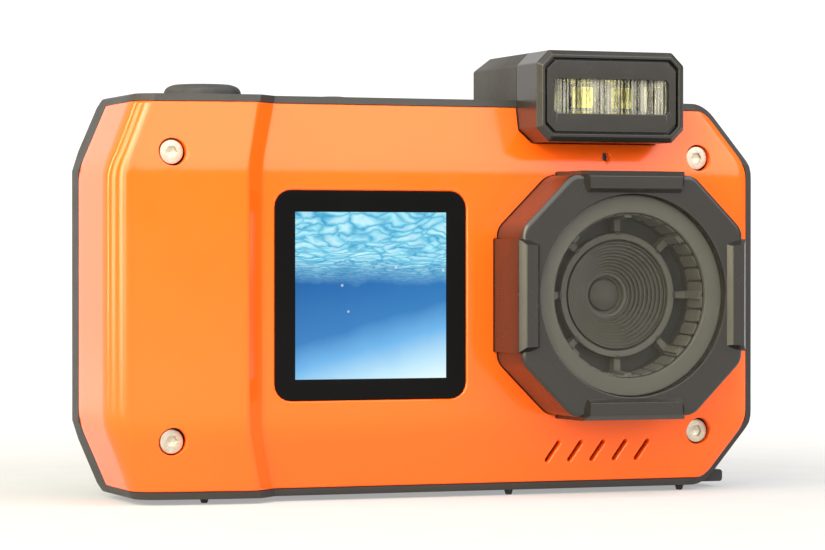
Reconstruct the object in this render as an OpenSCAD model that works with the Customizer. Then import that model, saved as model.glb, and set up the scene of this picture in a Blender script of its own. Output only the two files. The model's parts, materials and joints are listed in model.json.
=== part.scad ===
/* [Body] */
// Height of the body, without the flash housing and the feet
body_height = 63.4; // [62:0.1:65]
// From the middle of the front screen to the body's left side
body_left = 43.2; // [42.5:0.1:44]
// From the middle of the front screen to the body's right side
body_right = 67.9; // [67:0.1:69]
// From the front panel back to the rear face
body_back = 23.6; // [23:0.1:25]
// Thickness of the rear shell's lip around the front cover
lip = 1.2; // [1:0.1:1.4]
// Wall thickness of the front cover
cover_wall = 1.6; // [1.4:0.1:1.8]
// Wall thickness of the rear shell
shell_wall = 2.4; // [2.2:0.1:2.6]

/* [Front face] */
// How far the grip stands in front of the panel at the step
grip_rise = 3.3; // [2:0.1:4]
// Left edge of the panel at the foot of the grip's step
step_foot = 18.3; // [17.5:0.1:19]
// How far the top and bottom bevels fall back at the lip
bevel_drop = 2.75; // [2:0.05:3.2]
// Height above the middle at which each bevel starts
bevel_start = 19.1; // [18:0.1:20]
// Side of the front screen's window
front_window_size = 32.3; // [31:0.1:33]

/* [Lens] */
// Middle of the lens, to the right of the front screen's middle
lens_x = 41; // [40.5:0.1:41.5]
// How far the tabs of the lens housing stand in front of the panel
lens_rise = 11.6; // [10.5:0.1:12.5]
// How far the tabs stand in front of the lens housing's face
tab_rise = 1; // [0.6:0.1:1.4]
// Half the width of the octagonal lens housing
bezel_half = 19.4; // [19:0.1:20]
// Radius of the lens window's seat
window_r = 16.3; // [15.8:0.1:16.6]

/* [Flash] */
// Left side of the flash housing
flash_left = 26.05; // [25.5:0.05:27]
// Width of the flash housing
flash_width = 26.05; // [25:0.05:27]
// Top of the flash housing above the body's middle
flash_top = 39.45; // [38:0.05:41]
// Height of the flash housing
flash_height = 14.7; // [14:0.1:15]
// How far the flash housing stands in front of the panel
flash_rise = 6.4; // [5:0.1:8]

/* [Controls] */
// Radius of the shutter button
shutter_r = 6.15; // [5.5:0.05:6.5]
// How far the shutter button stands above the top
shutter_rise = 2.05; // [1.5:0.05:2.5]
// Travel of the shutter button
shutter_travel = 0.8; // [0.5:0.1:1]
// How far the rear keys stand out
key_rise = 0.7; // [0.5:0.05:0.9]
// Gap around each key
key_gap = 0.15; // [0.12:0.01:0.2]

/* [Base] */
// Height of the small feet
foot_height = 0.9; // [0.5:0.1:1.2]
// Core radius of the tripod socket's 1/4-20 thread
tripod_r = 2.55; // [2.5:0.01:2.6]

/* [Hidden] */
$fn = 64;

SHELL_COLOR = "#4b4a49";
COVER_COLOR = "#ff7a2e";
KEY_COLOR = "#3b3b3c";
BOARD_COLOR = "#1f6b45";
eps = 0.01;
fit = 0.05;                                  // gap between pieces that are fastened together

half_h = body_height / 2;
// The part's origin is under the middle of its box, level with the feet's soles.
mid_x = (body_right - body_left) / 2;
mid_y = (body_back + key_rise - lens_rise) / 2;
floor_z = -half_h - foot_height;

// Corner cuts of the body's outline: width, height
left_cut = [5.1, 11.7];
right_cut = [7.2, 10.4];
corner_r = 5;

// Height of the front window's middle
window_z = 0.07;

// Bevel of the front face
bevel_end = half_h - lip;
bevel_blend = 3.6;
bevel_slope = bevel_drop / (bevel_end - bevel_start - bevel_blend / 2);
// Depths of the cover: back of its skirt, back of its wrap round the left side
skirt_back = 4.4;
seal_depth = 0.8;
wrap_back = 18.25;
wrap_x = -35.6;

// Screws of the front cover: x, z, y of the head's front
screw_sites = [[-33.2, 22.5, -0.3], [-33.2, -22.5, -0.3], [57.8, 22.6, 1.4], [57.8, -22.6, 1.4]];
screw_head_r = 1.97;
screw_head_h = 1.3;
screw_r = 1.0;
cover_boss_h = 3.4;
cover_boss_r = 3.4;
shell_boss_r = 3.2;

// Front screen: the window's seat in the cover, then the module behind it
window_gap = 0.1;
window_back = 1.15;
screen_module = [29, 31];
screen_back = 3.2;

// Microphone hole and speaker slots in the cover
mic_at = [lens_x, 22.58];
mic_r = 0.7;
slot_pitch = 3.985;
slot_foot = [lens_x - 9.9, -26.9];
slot_size = [0.6, 3.3];
slot_slant = 31;

// Depths inside the lens housing
window_recess = 0.4;
lens_front = -lens_rise + tab_rise;
window_y = lens_front + window_recess;
window_t = 1.0;
gutter_r = 13.3;
hub_r = 9.05;
funnel_r = 8.5;
funnel_front = -3.9;
funnel_steps = 10;
funnel_rim = 0.15;
funnel_groove = 0.9;
pupil_r = 3.2;
pupil_y = 0.5;
baffle_back = 1.7;
barrel_front = 1.75;
bezel_cut = 8.7;
bezel_corner = 3;
bezel_seat = 0.5;
bezel_hole_r = 17;

// Strap lug under the bottom right corner cut
lug_right = 66.6;
lug_height = 2;

// The dial ring: the front of its wall and of its hub, and the floor between them
dial_front = -8.3;
dial_floor = -2.0;
dial_floor_t = 0.9;
dial_wall = [0.3, 0.65];
hub_front = -4.1;
hub_wall = 1.03;
spoke_width = 1.2;
spoke_rise = 0.35;
dial_gap = 0.3;
dial_gap_turn = 10;

// Tabs of the lens housing, measured from the lens axis
tab_half = 9.1;
tab_reach = bezel_half + 0.6;
tab_foot = 16.5;
tab_flat = 2;

// Flash housing
flash_chamfer = 2.15;
flash_seam = 2.75;
flash_back = 21.5;
flash_x = flash_left + flash_width / 2;
flash_z = flash_top - flash_height / 2;
flash_window = [20.3, 5.6];
flash_wall = 2.1;
flash_foot = 6;
led_pitch = 6.9;

// Shutter and power buttons on the top
shutter_at = [-24.45, 12];
power_at = [-2.5, 12];
power_r = 3.8;
power_rise = 0.5;
power_travel = 0.4;
well_floor = 1.2;
well_depth = 4.2;
shutter_stem = 1.6;
power_stem = 1.2;
stem_below = 0.9;
top_board_drop = 3.4;
board_t = 0.8;

// Rear keys
key_travel = 0.4;
key_wall = 2.2;
key_flange = 0.6;
key_foot = 0.7;
key_edge = 0.35;
key_room = key_foot + key_travel + 0.2;
pad_x = -25;
pad_z = -4;
small_key_r = 2.6;
rocker_size = [16, 5.8];
rocker_z = 20.5;
pad_inner = 4.45;
pad_outer = 8.65;
ok_r = 3.3;
pad_half_angle = 39;

// Rear screen
rear_x = 22.5;
rear_window_size = [62, 48];
rear_active = [57.6, 43.2];

// Side door
door_y = [6.2, 20.3];
door_half = 18;
door_gap = 0.3;
door_inner = 1.8;
ledge_depth = 2.6;
side_wall = 4.2;
hinge_x = body_right - 0.75;
hinge_y = 20.5;
knuckle_r = 0.95;
hinge_pin_r = 0.45;
knuckle_half = 9;
lug_knuckle = 4;
tongue_x = [body_right - 1.0, body_right - 0.55];

// Battery compartment behind the side door
battery_size = [38, 5.6, 34];
battery_at = [24.8, 12.4, -17];
side_board_y = 10.7;
sensor_y = 9.5;

// Tripod socket
tripod_at = [12, 12];
insert_r = 4.4;
insert_h = 7;

foot_x = [-26.3, 25.6, 56.4];
foot_y = [5, 18];

function unit(v) = v / norm(v);
function turned(v, a) = [v[0] * cos(a) - v[1] * sin(a), v[0] * sin(a) + v[1] * cos(a)];
function cross2(a, b) = a[0] * b[1] - a[1] * b[0];

// A convex outline, anticlockwise, with edge i (from point i to the next) moved in by d[i].
function inset(p, d) = let(n = len(p)) [
    for (i = [0:n - 1])
        let(u = unit(p[i] - p[(i + n - 1) % n]), v = unit(p[(i + 1) % n] - p[i]),
            du = d[(i + n - 1) % n], dv = d[i])
        p[i] + (du * v - dv * u) / cross2(u, v)
];
function inset_all(p, d) = inset(p, [for (i = p) d]);

// The outline with each corner rounded to its radius in r.
function rounded(p, r, steps = 6) = let(n = len(p)) [
    for (i = [0:n - 1])
        let(u = unit(p[i] - p[(i + n - 1) % n]), v = unit(p[(i + 1) % n] - p[i]),
            turn = atan2(cross2(u, v), u * v), t = r[i] * tan(turn / 2),
            start = p[i] - t * u, side = [u[1], -u[0]], middle = start - r[i] * side)
        for (k = [0:(r[i] > 0 ? steps : 0)])
            r[i] > 0 ? middle + r[i] * turned(side, turn * k / steps) : p[i]
];

// Outline of the body, seen from the front, anticlockwise from the bottom left.
body_points = [
    [-body_left + left_cut[0], -half_h], [body_right - right_cut[0], -half_h],
    [body_right, -half_h + right_cut[1]], [body_right, half_h - right_cut[1]],
    [body_right - right_cut[0], half_h], [-body_left + left_cut[0], half_h],
    [-body_left, half_h - left_cut[1]], [-body_left, -half_h + left_cut[1]]
];
function body_radii(d) = [0.6, corner_r - d, corner_r - d, corner_r - d, corner_r - d, 0.6, 1.2, 1.2];
function body_outline(d = 0) = rounded(inset_all(body_points, d), body_radii(d));
// The front cover keeps the body's left side and lies inside the lip elsewhere.
function cover_outline(d = 0) =
    rounded(inset(body_points, [lip + d, lip + d, lip + d, lip + d, lip + d, d, d, d]),
        body_radii(lip + d));

function box_points(w, h) = [[-w / 2, -h / 2], [w / 2, -h / 2], [w / 2, h / 2], [-w / 2, h / 2]];
function cut_box(w, h, c) = [
    [-w / 2 + c, -h / 2], [w / 2 - c, -h / 2], [w / 2, -h / 2 + c], [w / 2, h / 2 - c],
    [w / 2 - c, h / 2], [-w / 2 + c, h / 2], [-w / 2, h / 2 - c], [-w / 2, -h / 2 + c]
];

// The front face: how far it lies behind the panel's plane at each place.
function bevel(z) = let(a = abs(z) - bevel_start)
    a <= 0 ? 0 : a < bevel_blend ? bevel_slope * a * a / (2 * bevel_blend)
        : bevel_slope * (a - bevel_blend / 2);
function grip_face(x) = let(d = -x - step_foot - grip_rise) -grip_rise + 0.1 * d + 0.004 * d * d;
function side_limit(z, reach, cut) =
    reach - max(0, abs(z) - (half_h - cut[1])) * cut[0] / cut[1];
left_round = [4.1, 4.3];
right_roll = [[4.4, 0], [2.7, 0.25], [1.2, 0.95], [-1.5, 2.0]];

// One row of the front face at height z, from left to right: [x, y].
function face_row(z) =
    let(l = -side_limit(z, body_left, left_cut), r = side_limit(z, body_right, right_cut),
        b = bevel(z), x0 = l + left_round[0], y0 = grip_face(x0) + b)
    concat(
        [[l - 1.2, y0 + left_round[1] + 8]],
        [for (k = [0:5]) let(a = 15 + 15 * k)
            [x0 - left_round[0] * cos(a - 15), y0 + left_round[1] * (1 - sin(a - 15))]],
        [for (k = [0:3]) let(x = x0 + (-24 - x0) * k / 3) [x, grip_face(x) + b]],
        [[-step_foot - grip_rise + b, b - grip_rise], [-step_foot + b, b]],
        [for (q = right_roll) [r - q[0], b + q[1]]]
    );
face_rows = [
    -33, -bevel_end, -27, -22.7, -21.4, -20.2, -bevel_start, 0,
    bevel_start, 20.2, 21.4, 22.7, 27, bevel_end, 33
];

// Everything behind the front face, moved back by d.
module behind_face(d = 0) {
    rows = [for (z = face_rows) [for (q = face_row(z)) [q[0], q[1] + d, z]]];
    nr = len(rows);
    nc = len(rows[0]);
    front = [for (row = rows) each row];
    back = [for (row = rows) for (q = row) [q[0], 40, q[2]]];
    off = nr * nc;
    grid = [for (i = [0:nr - 2]) for (j = [0:nc - 2]) [i * nc + j, (i + 1) * nc + j,
        (i + 1) * nc + j + 1, i * nc + j + 1]];
    ends = [for (j = [0:nc - 2]) each [
        [j, j + 1, off + j + 1, off + j],
        [off - nc + j, 2 * off - nc + j, 2 * off - nc + j + 1, off - nc + j + 1]
    ]];
    sides = [for (i = [0:nr - 2]) each [
        [i * nc, off + i * nc, off + (i + 1) * nc, (i + 1) * nc],
        [(i + 1) * nc - 1, (i + 2) * nc - 1, off + (i + 2) * nc - 1, off + (i + 1) * nc - 1]
    ]];
    polyhedron(concat(front, back), concat(
        [for (f = grid) each [[f[0], f[1], f[2]], [f[0], f[2], f[3]]]],
        [for (f = grid) [off + f[3], off + f[2], off + f[1], off + f[0]]],
        ends, sides));
}

// Moves a piece from the front screen's middle to the part's own origin.
module placed() { translate([-mid_x, -mid_y, -floor_z]) children(); }
// Extrudes a front-view shape from depth y0 to depth y1.
module prism(y0, y1) { translate([0, y1, 0]) rotate([90, 0, 0]) linear_extrude(y1 - y0) children(); }
// A cylinder along Y at (x, z), from depth y0 to y1.
module rod(x, z, y0, y1, r) { translate([x, y1, z]) rotate([90, 0, 0]) cylinder(r = r, h = y1 - y0); }
module tube(x, z, y0, y1, r, hole) {
    difference() {
        rod(x, z, y0, y1, r);
        rod(x, z, y0 - 1, y1 + 1, hole);
    }
}
// A block from one corner to the other.
module block(a, b) { translate(a) cube(b - a); }
// A shape turned about the lens axis: its profile's x is the radius and its y the depth.
module turned_on_lens() {
    translate([lens_x, 0, 0]) rotate([90, 0, 0]) rotate_extrude() scale([1, -1]) children();
}

// Turns its children about the lens axis.
module about_lens(angle) {
    translate([lens_x, 0, 0]) rotate([0, angle, 0]) translate([-lens_x, 0, 0]) children();
}

module slot_shape(w, l) {
    circle(r = w / 2);
    translate([0, l]) circle(r = w / 2);
    translate([-w / 2, 0]) square([w, l]);
}
module speaker_openings() {
    for (k = [0:4]) translate(slot_foot + [slot_pitch * k, 0]) rotate(-slot_slant)
        slot_shape(slot_size[0], slot_size[1]);
}

module flash_outline(d) {
    translate([flash_x, flash_z])
        polygon(rounded(cut_box(flash_width - 2 * d, flash_height - 2 * d, flash_chamfer - 0.58 * d),
            [for (i = [0:7]) 0.6], 3));
}

module bezel_outline(d) {
    translate([lens_x, 0])
        polygon(rounded(cut_box(2 * (bezel_half + d), 2 * (bezel_half + d), bezel_cut),
            [for (i = [0:7]) bezel_corner]));
}

module tabs_outline(d) {
    half = tab_half + d;
    reach = tab_reach + d;
    translate([lens_x, 0]) for (a = [0:90:270])
        rotate(a) translate([10, -half]) square([reach - 10, 2 * half]);
}

module front_cover() {
    color(COVER_COLOR) placed() difference() {
        intersection() {
            behind_face();
            union() {
                prism(-6, skirt_back) polygon(cover_outline());
                intersection() {
                    prism(skirt_back - 1, wrap_back) polygon(cover_outline());
                    block([-body_left - 1, 0, -half_h], [wrap_x - fit, wrap_back + 1, half_h]);
                }
            }
        }
        difference() {
            intersection() {
                behind_face(cover_wall);
                prism(-6, wrap_back + 1) polygon(cover_outline(1.5));
            }
            for (s = screw_sites) rod(s[0], s[1], -6, s[2] + cover_boss_h, cover_boss_r);
        }
        for (s = screw_sites) {
            rod(s[0], s[1], -8, s[2] + screw_head_h, screw_head_r + 0.2);
            rod(s[0], s[1], -8, skirt_back + 1, screw_r + 0.2);
        }
        // front screen: seat for the window, then the opening
        prism(-1, window_back + fit) translate([0, window_z]) polygon(
            rounded(box_points(front_window_size + window_gap, front_window_size + 0.9 + window_gap),
                [for (i = [0:3]) 2.7]));
        prism(-1, 4) polygon(box_points(screen_module[0] + 0.5, screen_module[1] + 0.5));
        // lens: seat for the housing, then the opening
        prism(-1, bezel_seat + fit) { bezel_outline(0.1); tabs_outline(0.1); }
        rod(lens_x, 0, -1, 8, bezel_hole_r);
        // flash
        prism(-8, 8) flash_outline(-0.1);
        rod(mic_at[0], mic_at[1], -1, 4, mic_r);
        prism(-1, 5) speaker_openings();
    }
}

module rear_keys_openings() {
    inner = body_back - key_wall - key_room;
    for (q = small_keys) {
        rod(q[0], q[1], inner, body_back + 1, small_key_r + key_gap);
        rod(q[0], q[1], inner, body_back - key_wall, small_key_r + key_gap + key_flange + 0.2);
    }
    rod(pad_x, pad_z, inner, body_back + 1, ok_r + key_gap);
    for (a = [0:90:270]) prism(inner, body_back + 1)
        translate([pad_x, pad_z]) rotate(a) pad_sector(-key_gap);
    prism(inner, body_back + 1)
        translate([pad_x, rocker_z]) pill(rocker_size[0] + 0.5, rocker_size[1] + 0.4);
}

module pill(w, h) {
    square([w - h, h], center = true);
    for (s = [-1, 1]) translate([s * (w - h) / 2, 0]) circle(d = h);
}

// One direction key's outline: a part of a ring, drawn in by d.
module pad_sector(d) {
    half = pad_half_angle;
    reach = 14;
    difference() {
        circle(r = pad_outer - d);
        circle(r = pad_inner + d);
        for (m = [-1, 1]) rotate(m * half) translate([-reach, m > 0 ? -d : d - reach])
            square([2 * reach, reach]);
        translate([-reach, -reach]) square([reach, 2 * reach]);
    }
}
small_keys = [[pad_x - 8, 10.6], [pad_x + 8, 10.6], [pad_x - 8, -18.6], [pad_x + 8, -18.6]];

module button_well(at, r) {
    intersection() {
        translate([at[0], at[1], half_h - well_depth]) cylinder(r = r + 1.6, h = well_depth - 1);
        block([at[0] - 10, skirt_back + seal_depth + 2 * fit, 0], [at[0] + 10, body_back, half_h]);
    }
}
module button_well_cut(at, r, stem) {
    translate([at[0], at[1], half_h - well_depth + well_floor]) cylinder(r = r + key_gap, h = 12);
    translate([at[0], at[1], half_h - well_depth - 1]) cylinder(r = stem + 0.1, h = 12);
    translate([at[0], at[1], half_h - well_depth + 0.3]) cylinder(r = stem + 0.75, h = 0.65);
}

module rear_shell() {
    color(SHELL_COLOR) placed() difference() {
        union() {
            difference() {
                intersection() {
                    behind_face();
                    prism(-6, body_back) polygon(body_outline());
                    shell_side_profile();
                }
                // seat of the front cover, then the hollow
                prism(-9, skirt_back + fit) polygon(cover_outline(-fit));
                intersection() {
                    prism(-9, wrap_back + fit) polygon(cover_outline(-fit));
                    block([-body_left - 2, -9, -half_h], [wrap_x, wrap_back + fit, half_h]);
                }
                difference() {
                    prism(-9, body_back - key_wall) polygon(body_outline(shell_wall));
                    block([body_right - side_wall, 0, -24], [body_right + 1, body_back, 24]);
                }
            }
            // rear half of the flash housing
            intersection() {
                prism(flash_seam + fit, flash_back) flash_outline(0);
                flash_rear_profile();
            }
            for (s = screw_sites)
                rod(s[0], s[1], s[2] + cover_boss_h + 0.1, body_back - key_wall + eps, shell_boss_r);
            button_well(shutter_at, shutter_r);
            button_well(power_at, power_r);
            // boss round the tripod insert
            translate([tripod_at[0], tripod_at[1], -half_h + 1]) cylinder(r = insert_r + 1.6, h = insert_h);
        }
        seal_run(fit);
        for (s = screw_sites) rod(s[0], s[1], 0, body_back - key_wall - 3, screw_r - 0.02);
        prism(flash_seam - 1, flash_back - 1.6) intersection() {
            flash_outline(1.6);
            translate([flash_left, half_h - shell_wall - 5]) square([flash_width, 30]);
        }
        // the opening under the flash housing's front half
        prism(-6, flash_seam + fit) flash_outline(-0.1);
        prism(flash_seam - 1, flash_foot + 0.2) intersection() {
            flash_outline(-0.1);
            translate([flash_left - 1, 20]) square([flash_width + 2, half_h - shell_wall - 20]);
        }
        button_well_cut(shutter_at, shutter_r, shutter_stem);
        button_well_cut(power_at, power_r, power_stem);
        rear_keys_openings();
        // rear screen: seat for the window, then the opening
        prism(body_back - 1.1, body_back + 1) translate([rear_x, 0])
            polygon(rounded(box_points(rear_window_size[0] + 0.1, rear_window_size[1] + 0.1),
                [for (i = [0:3]) 2.5]));
        prism(body_back - 5, body_back + 1) translate([rear_x, 0])
            polygon(box_points(rear_active[0] + 1, rear_active[1] + 1));
        // side door: recess, opening, hinge relief and the latch's keeper
        side_door_recess();
        // tripod insert
        translate([tripod_at[0], tripod_at[1], -half_h - 1]) cylinder(r = insert_r, h = insert_h + 1.05);
    }
    color(SHELL_COLOR) placed() door_shell_knuckles();
}

// Chamfers all round the rear face.
module shell_side_profile() {
    c = 1.6;
    intersection() {
        translate([-60, 0, 0]) rotate([90, 0, 90]) linear_extrude(150) polygon([
            [-8, -40], [body_back - c, -40], [body_back - c, -half_h - 0.2], [body_back + 0.2, -half_h + c],
            [body_back + 0.2, half_h - c], [body_back - c, half_h + 0.2], [body_back - c, 40], [-8, 40]]);
        translate([0, 0, -40]) linear_extrude(80) polygon([
            [-body_left - 5, -8], [body_right + 5, -8], [body_right + 5, body_back - c],
            [body_right + 0.2, body_back - c], [body_right - c, body_back + 0.2],
            [-body_left + c, body_back + 0.2], [-body_left - 0.2, body_back - c],
            [-body_left - 5, body_back - c]]);
    }
}

// The flash housing's rear half starts inside the body's top wall and falls away at the back.
module flash_rear_profile() {
    translate([flash_left - 5, 0, 0]) rotate([90, 0, 90]) linear_extrude(flash_width + 10) polygon([
        [0, half_h - shell_wall], [flash_back, half_h - shell_wall], [flash_back, flash_top - 2.2],
        [flash_back - 2.4, flash_top + 0.1], [0, flash_top + 0.1]]);
}

module side_door_recess() {
    x = body_right - ledge_depth;
    block([x, door_y[0] - door_gap, -door_half - door_gap], [body_right + 2, hinge_y, door_half + door_gap]);
    block([body_right - side_wall - 1, 7.5, -16.4], [x + 1, 18.2, 16.4]);
    translate([hinge_x, hinge_y, -door_half - door_gap]) cylinder(r = 1.45, h = 2 * (door_half + door_gap));
    // pocket for the latch's tongue: open where the tongue rests, under a keeper where it locks
    block([tongue_x[0] - 0.1, door_y[0] - 1.5, -5.6], [tongue_x[1] + 0.1, door_y[0], 3.2]);
    block([tongue_x[0] - 0.1, door_y[0] - 1.5, -0.6], [body_right + 2, door_y[0], 3.2]);
}

module door_shell_knuckles() {
    for (m = [-1, 1]) difference() {
        translate([0, 0, m > 0 ? knuckle_half + 0.3 : -knuckle_half - 0.3 - lug_knuckle]) {
            translate([hinge_x, hinge_y, 0]) cylinder(r = knuckle_r, h = lug_knuckle);
            block([hinge_x - 1.75, hinge_y - 0.5, 0], [hinge_x, hinge_y + 1.4, lug_knuckle]);
        }
        translate([hinge_x, hinge_y, -20]) cylinder(r = hinge_pin_r + eps, h = 40);
        block([body_right, 0, -20], [body_right + 2, 40, 20]);
    }
}

// The seal's path behind the cover's skirt, broken at the wrap and at the flash housing.
module seal_run(d) {
    difference() {
        prism(skirt_back, skirt_back + seal_depth + d) difference() {
            polygon(cover_outline(0.15 - d));
            polygon(cover_outline(1.1 + d));
        }
        block([-60, 0, -60], [wrap_x + 1 - d, 30, 60]);
        prism(-6, 12) flash_outline(d - 0.3);
    }
}

module cover_seal() {
    color("#222222") placed() seal_run(0);
}

module cover_screws() {
    color("silver") placed() for (s = screw_sites) difference() {
        union() {
            rod(s[0], s[1], s[2], s[2] + screw_head_h - 0.02, screw_head_r);
            rod(s[0], s[1], s[2] + 1, s[2] + 13, screw_r - 0.04);
        }
        translate([s[0], s[2] + 0.55, s[1]]) rotate([90, 0, 0]) cylinder(r = 0.95, h = 2, $fn = 6);
    }
}

module front_window() {
    color("#141416") placed() prism(window_back - 1, window_back) translate([0, window_z]) polygon(
        rounded(box_points(front_window_size, front_window_size + 0.9), [for (i = [0:3]) 2.65]));
}

module front_display() {
    color("#2f5f9f") placed() {
        prism(window_back + fit, screen_back) polygon(box_points(screen_module[0], screen_module[1]));
        // its ribbon cable
        block([-5, screen_back + fit, -22], [5, screen_back + 0.25, -15.6]);
        block([-5, 2.2, -16], [5, screen_back + 0.25, -15.4]);
    }
}

// A tab with bevelled edges: its flat front lies between two slopes that face out and in.
module bezel_tab() {
    hull() {
        translate([tab_foot, 0, -tab_half]) cube([tab_reach - tab_foot, -lens_front - 0.25, 2 * tab_half]);
        translate([tab_foot, 0, -tab_half + 1]) cube([eps, -lens_front, 2 * tab_half - 2]);
        translate([tab_foot + 0.65, 0, -tab_half + 0.9]) cube([tab_flat, lens_rise, 2 * tab_half - 1.8]);
    }
}

module lens_bezel() {
    color(SHELL_COLOR) placed() difference() {
        union() {
            prism(lens_front + 0.8, bezel_seat) bezel_outline(0);
            hull() {
                prism(lens_front, lens_front + 0.1) bezel_outline(-0.7);
                prism(lens_front + 0.75, lens_front + 0.85) bezel_outline(0);
            }
            for (a = [0:90:270]) translate([lens_x, 0, 0]) rotate([0, a, 0]) scale([1, -1, 1]) bezel_tab();
            prism(-1, bezel_seat) tabs_outline(0);
            rod(lens_x, 0, 0, 5.5, bezel_hole_r - 0.1);
        }
        rod(lens_x, 0, -20, window_y + window_t + 2.2, window_r);
        rod(lens_x, 0, -20, 10, gutter_r + 0.1);
    }
}

module lens_window() {
    color([0.6, 0.62, 0.62, 0.35]) placed() rod(lens_x, 0, window_y, window_y + window_t, window_r - 0.05);
}

module lens_ring() {
    color("#5c5952") placed()
        tube(lens_x, 0, window_y + window_t + 0.02, window_y + window_t + 0.8, window_r - 0.1, gutter_r);
}

module lens_seal() {
    color("#1c1c1c") placed() turned_on_lens()
        translate([window_r - 0.9, window_y + window_t + 1.5]) circle(r = 0.65, $fn = 32);
}

// The wall leans inwards to the floor, and the hub stands in the middle.
module dial_walls() {
    outer = gutter_r - 0.02;
    turned_on_lens() polygon([
        [hub_r, hub_front], [hub_r + hub_wall, hub_front], [hub_r + hub_wall, dial_floor],
        [outer - dial_wall[1], dial_floor], [outer - dial_wall[0], dial_front], [outer, dial_front],
        [outer, baffle_back], [outer - dial_wall[1], baffle_back],
        [outer - dial_wall[1], dial_floor + dial_floor_t], [hub_r, dial_floor + dial_floor_t]]);
}

// A bar from the hub to the wall, carried on up the wall as a rib.
module dial_spoke() {
    outer = gutter_r - 0.12;
    translate([lens_x, 0, 0]) linear_extrude(spoke_width, center = true) polygon([
        [hub_r + hub_wall - 0.2, hub_front + 0.15], [outer - dial_wall[1] - spoke_rise, hub_front + 0.15],
        [outer - dial_wall[0] - spoke_rise, dial_front + 0.15], [outer, dial_front + 0.15],
        [outer, dial_floor + dial_floor_t / 2],
        [hub_r + hub_wall - 0.2, dial_floor + dial_floor_t / 2]]);
}

module dial_ring() {
    color("#4a4945") placed() {
        difference() {
            dial_walls();
            for (a = [0:dial_gap_turn:350]) about_lens(a)
                block([lens_x + hub_r + 2, dial_front - 1, -dial_gap / 2],
                    [lens_x + gutter_r + 1, hub_front, dial_gap / 2]);
        }
        for (a = [0:45:315]) about_lens(a) dial_spoke();
    }
}

module stepped_baffle() {
    rise = (pupil_y - funnel_front) / funnel_steps;
    run = (funnel_r - pupil_r) / funnel_steps;
    inner = [for (k = [0:funnel_steps - 1]) each
        [[funnel_r - run * k, funnel_front + rise * k],
            [funnel_r - run * k, funnel_front + rise * (k + 1)]]];
    groove = funnel_front + funnel_groove;
    color("#55544e") placed() turned_on_lens() polygon(concat(
        [[hub_r - 0.05, groove], [funnel_r + funnel_rim, groove], [funnel_r + funnel_rim, funnel_front]],
        inner, [[pupil_r, pupil_y], [pupil_r, baffle_back], [hub_r - 0.05, baffle_back]]));
}

module lens_barrel() {
    color("#2c2c2e") placed() turned_on_lens() polygon([
        [2.6, barrel_front], [gutter_r - 0.2, barrel_front], [gutter_r - 0.2, 3.2], [6.4, 3.2],
        [6.4, sensor_y - 0.1], [3.6, sensor_y - 0.1], [3.6, 6], [2.6, 6]]);
}

module front_lens() {
    color([0.5, 0.55, 0.6, 0.4]) placed() turned_on_lens() difference() {
        intersection() {
            translate([0, 5]) circle(r = 4.4);
            translate([0, 0.6]) square([2.55, 1.9]);
        }
        translate([-5, 0]) square([5, 10]);
    }
}

module rear_lens() {
    color([0.5, 0.55, 0.6, 0.4]) placed() turned_on_lens() intersection() {
        translate([0, 11.2]) circle(r = 5.2);
        translate([0, 6.05]) square([3.55, 2.2]);
    }
}

module image_sensor() {
    color("#30323a") placed() block([lens_x - 4.5, sensor_y, -3.8], [lens_x + 4.5, sensor_y + 0.7, 3.8]);
}

module sensor_board() {
    color(BOARD_COLOR) placed() block([lens_x - 12, sensor_y + 0.72, -12],
        [lens_x + 12, sensor_y + 1.5, 12]);
}

module flash_housing() {
    face_y = -flash_rise;
    color("#5b5856") placed() difference() {
        union() {
            prism(face_y + 0.8, flash_seam) flash_outline(0);
            hull() {
                prism(face_y, face_y + 0.05) flash_outline(0.8);
                prism(face_y + 0.8, face_y + 0.85) flash_outline(0);
            }
            prism(flash_seam - 1, flash_foot) intersection() {
                flash_outline(0);
                translate([flash_left - 1, 20]) square([flash_width + 2, half_h - shell_wall - 20.1]);
            }
        }
        prism(face_y - 1, face_y + 1.2) flash_outline(1.25);
        prism(face_y - 1, 12) flash_outline(flash_wall);
    }
}

module flash_trim() {
    color("#4d4a48") placed() difference() {
        prism(-flash_rise + 0.2, -flash_rise + 1.18) flash_outline(1.35);
        prism(-flash_rise - 1, 4) translate([flash_x, flash_z]) polygon(box_points(flash_window[0],
            flash_window[1]));
    }
}

module flash_lens() {
    ribs = 26;
    pitch = flash_window[0] / ribs;
    color([0.9, 0.93, 0.95, 0.35]) placed() {
        prism(-flash_rise + 1.22, -flash_rise + 2.2) translate([flash_x, flash_z])
            polygon(box_points(flash_window[0] + 1.2, flash_window[1] + 1.2));
        for (k = [1:ribs - 2]) block(
            [flash_x - flash_window[0] / 2 + pitch * (k + 0.25), -flash_rise + 0.7, flash_z - 2.6],
            [flash_x - flash_window[0] / 2 + pitch * (k + 0.75), -flash_rise + 1.23, flash_z + 2.6]);
    }
}

module flash_reflector() {
    y = -flash_rise + 2.25;
    color("#d8d8da") placed() difference() {
        prism(y, y + 2.6) translate([flash_x, flash_z]) polygon(box_points(21.5, 7.2));
        hull() {
            prism(y - 0.1, y) translate([flash_x, flash_z]) polygon(box_points(20.3, 6));
            prism(y + 2.0, y + 2.1) translate([flash_x, flash_z]) polygon(box_points(15, 4.2));
        }
    }
}

module flash_leds() {
    y = -flash_rise + 3.6;
    half = 1.7;
    color("#f2e23a") placed() for (m = [-1, 1]) translate([flash_x + m * led_pitch / 2, y, flash_z])
        block([-half, 0, -half], [half, 0.7, half]);
}

module flash_board() {
    y = -flash_rise + 4.9;
    color(BOARD_COLOR) placed()
        block([flash_x - 10, y, flash_z - 3.4], [flash_x + 10, y + board_t, flash_z + 3.4]);
}

module microphone() {
    color("silver") placed() rod(mic_at[0], mic_at[1], 2.65, 4.1, 1.6);
}

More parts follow.
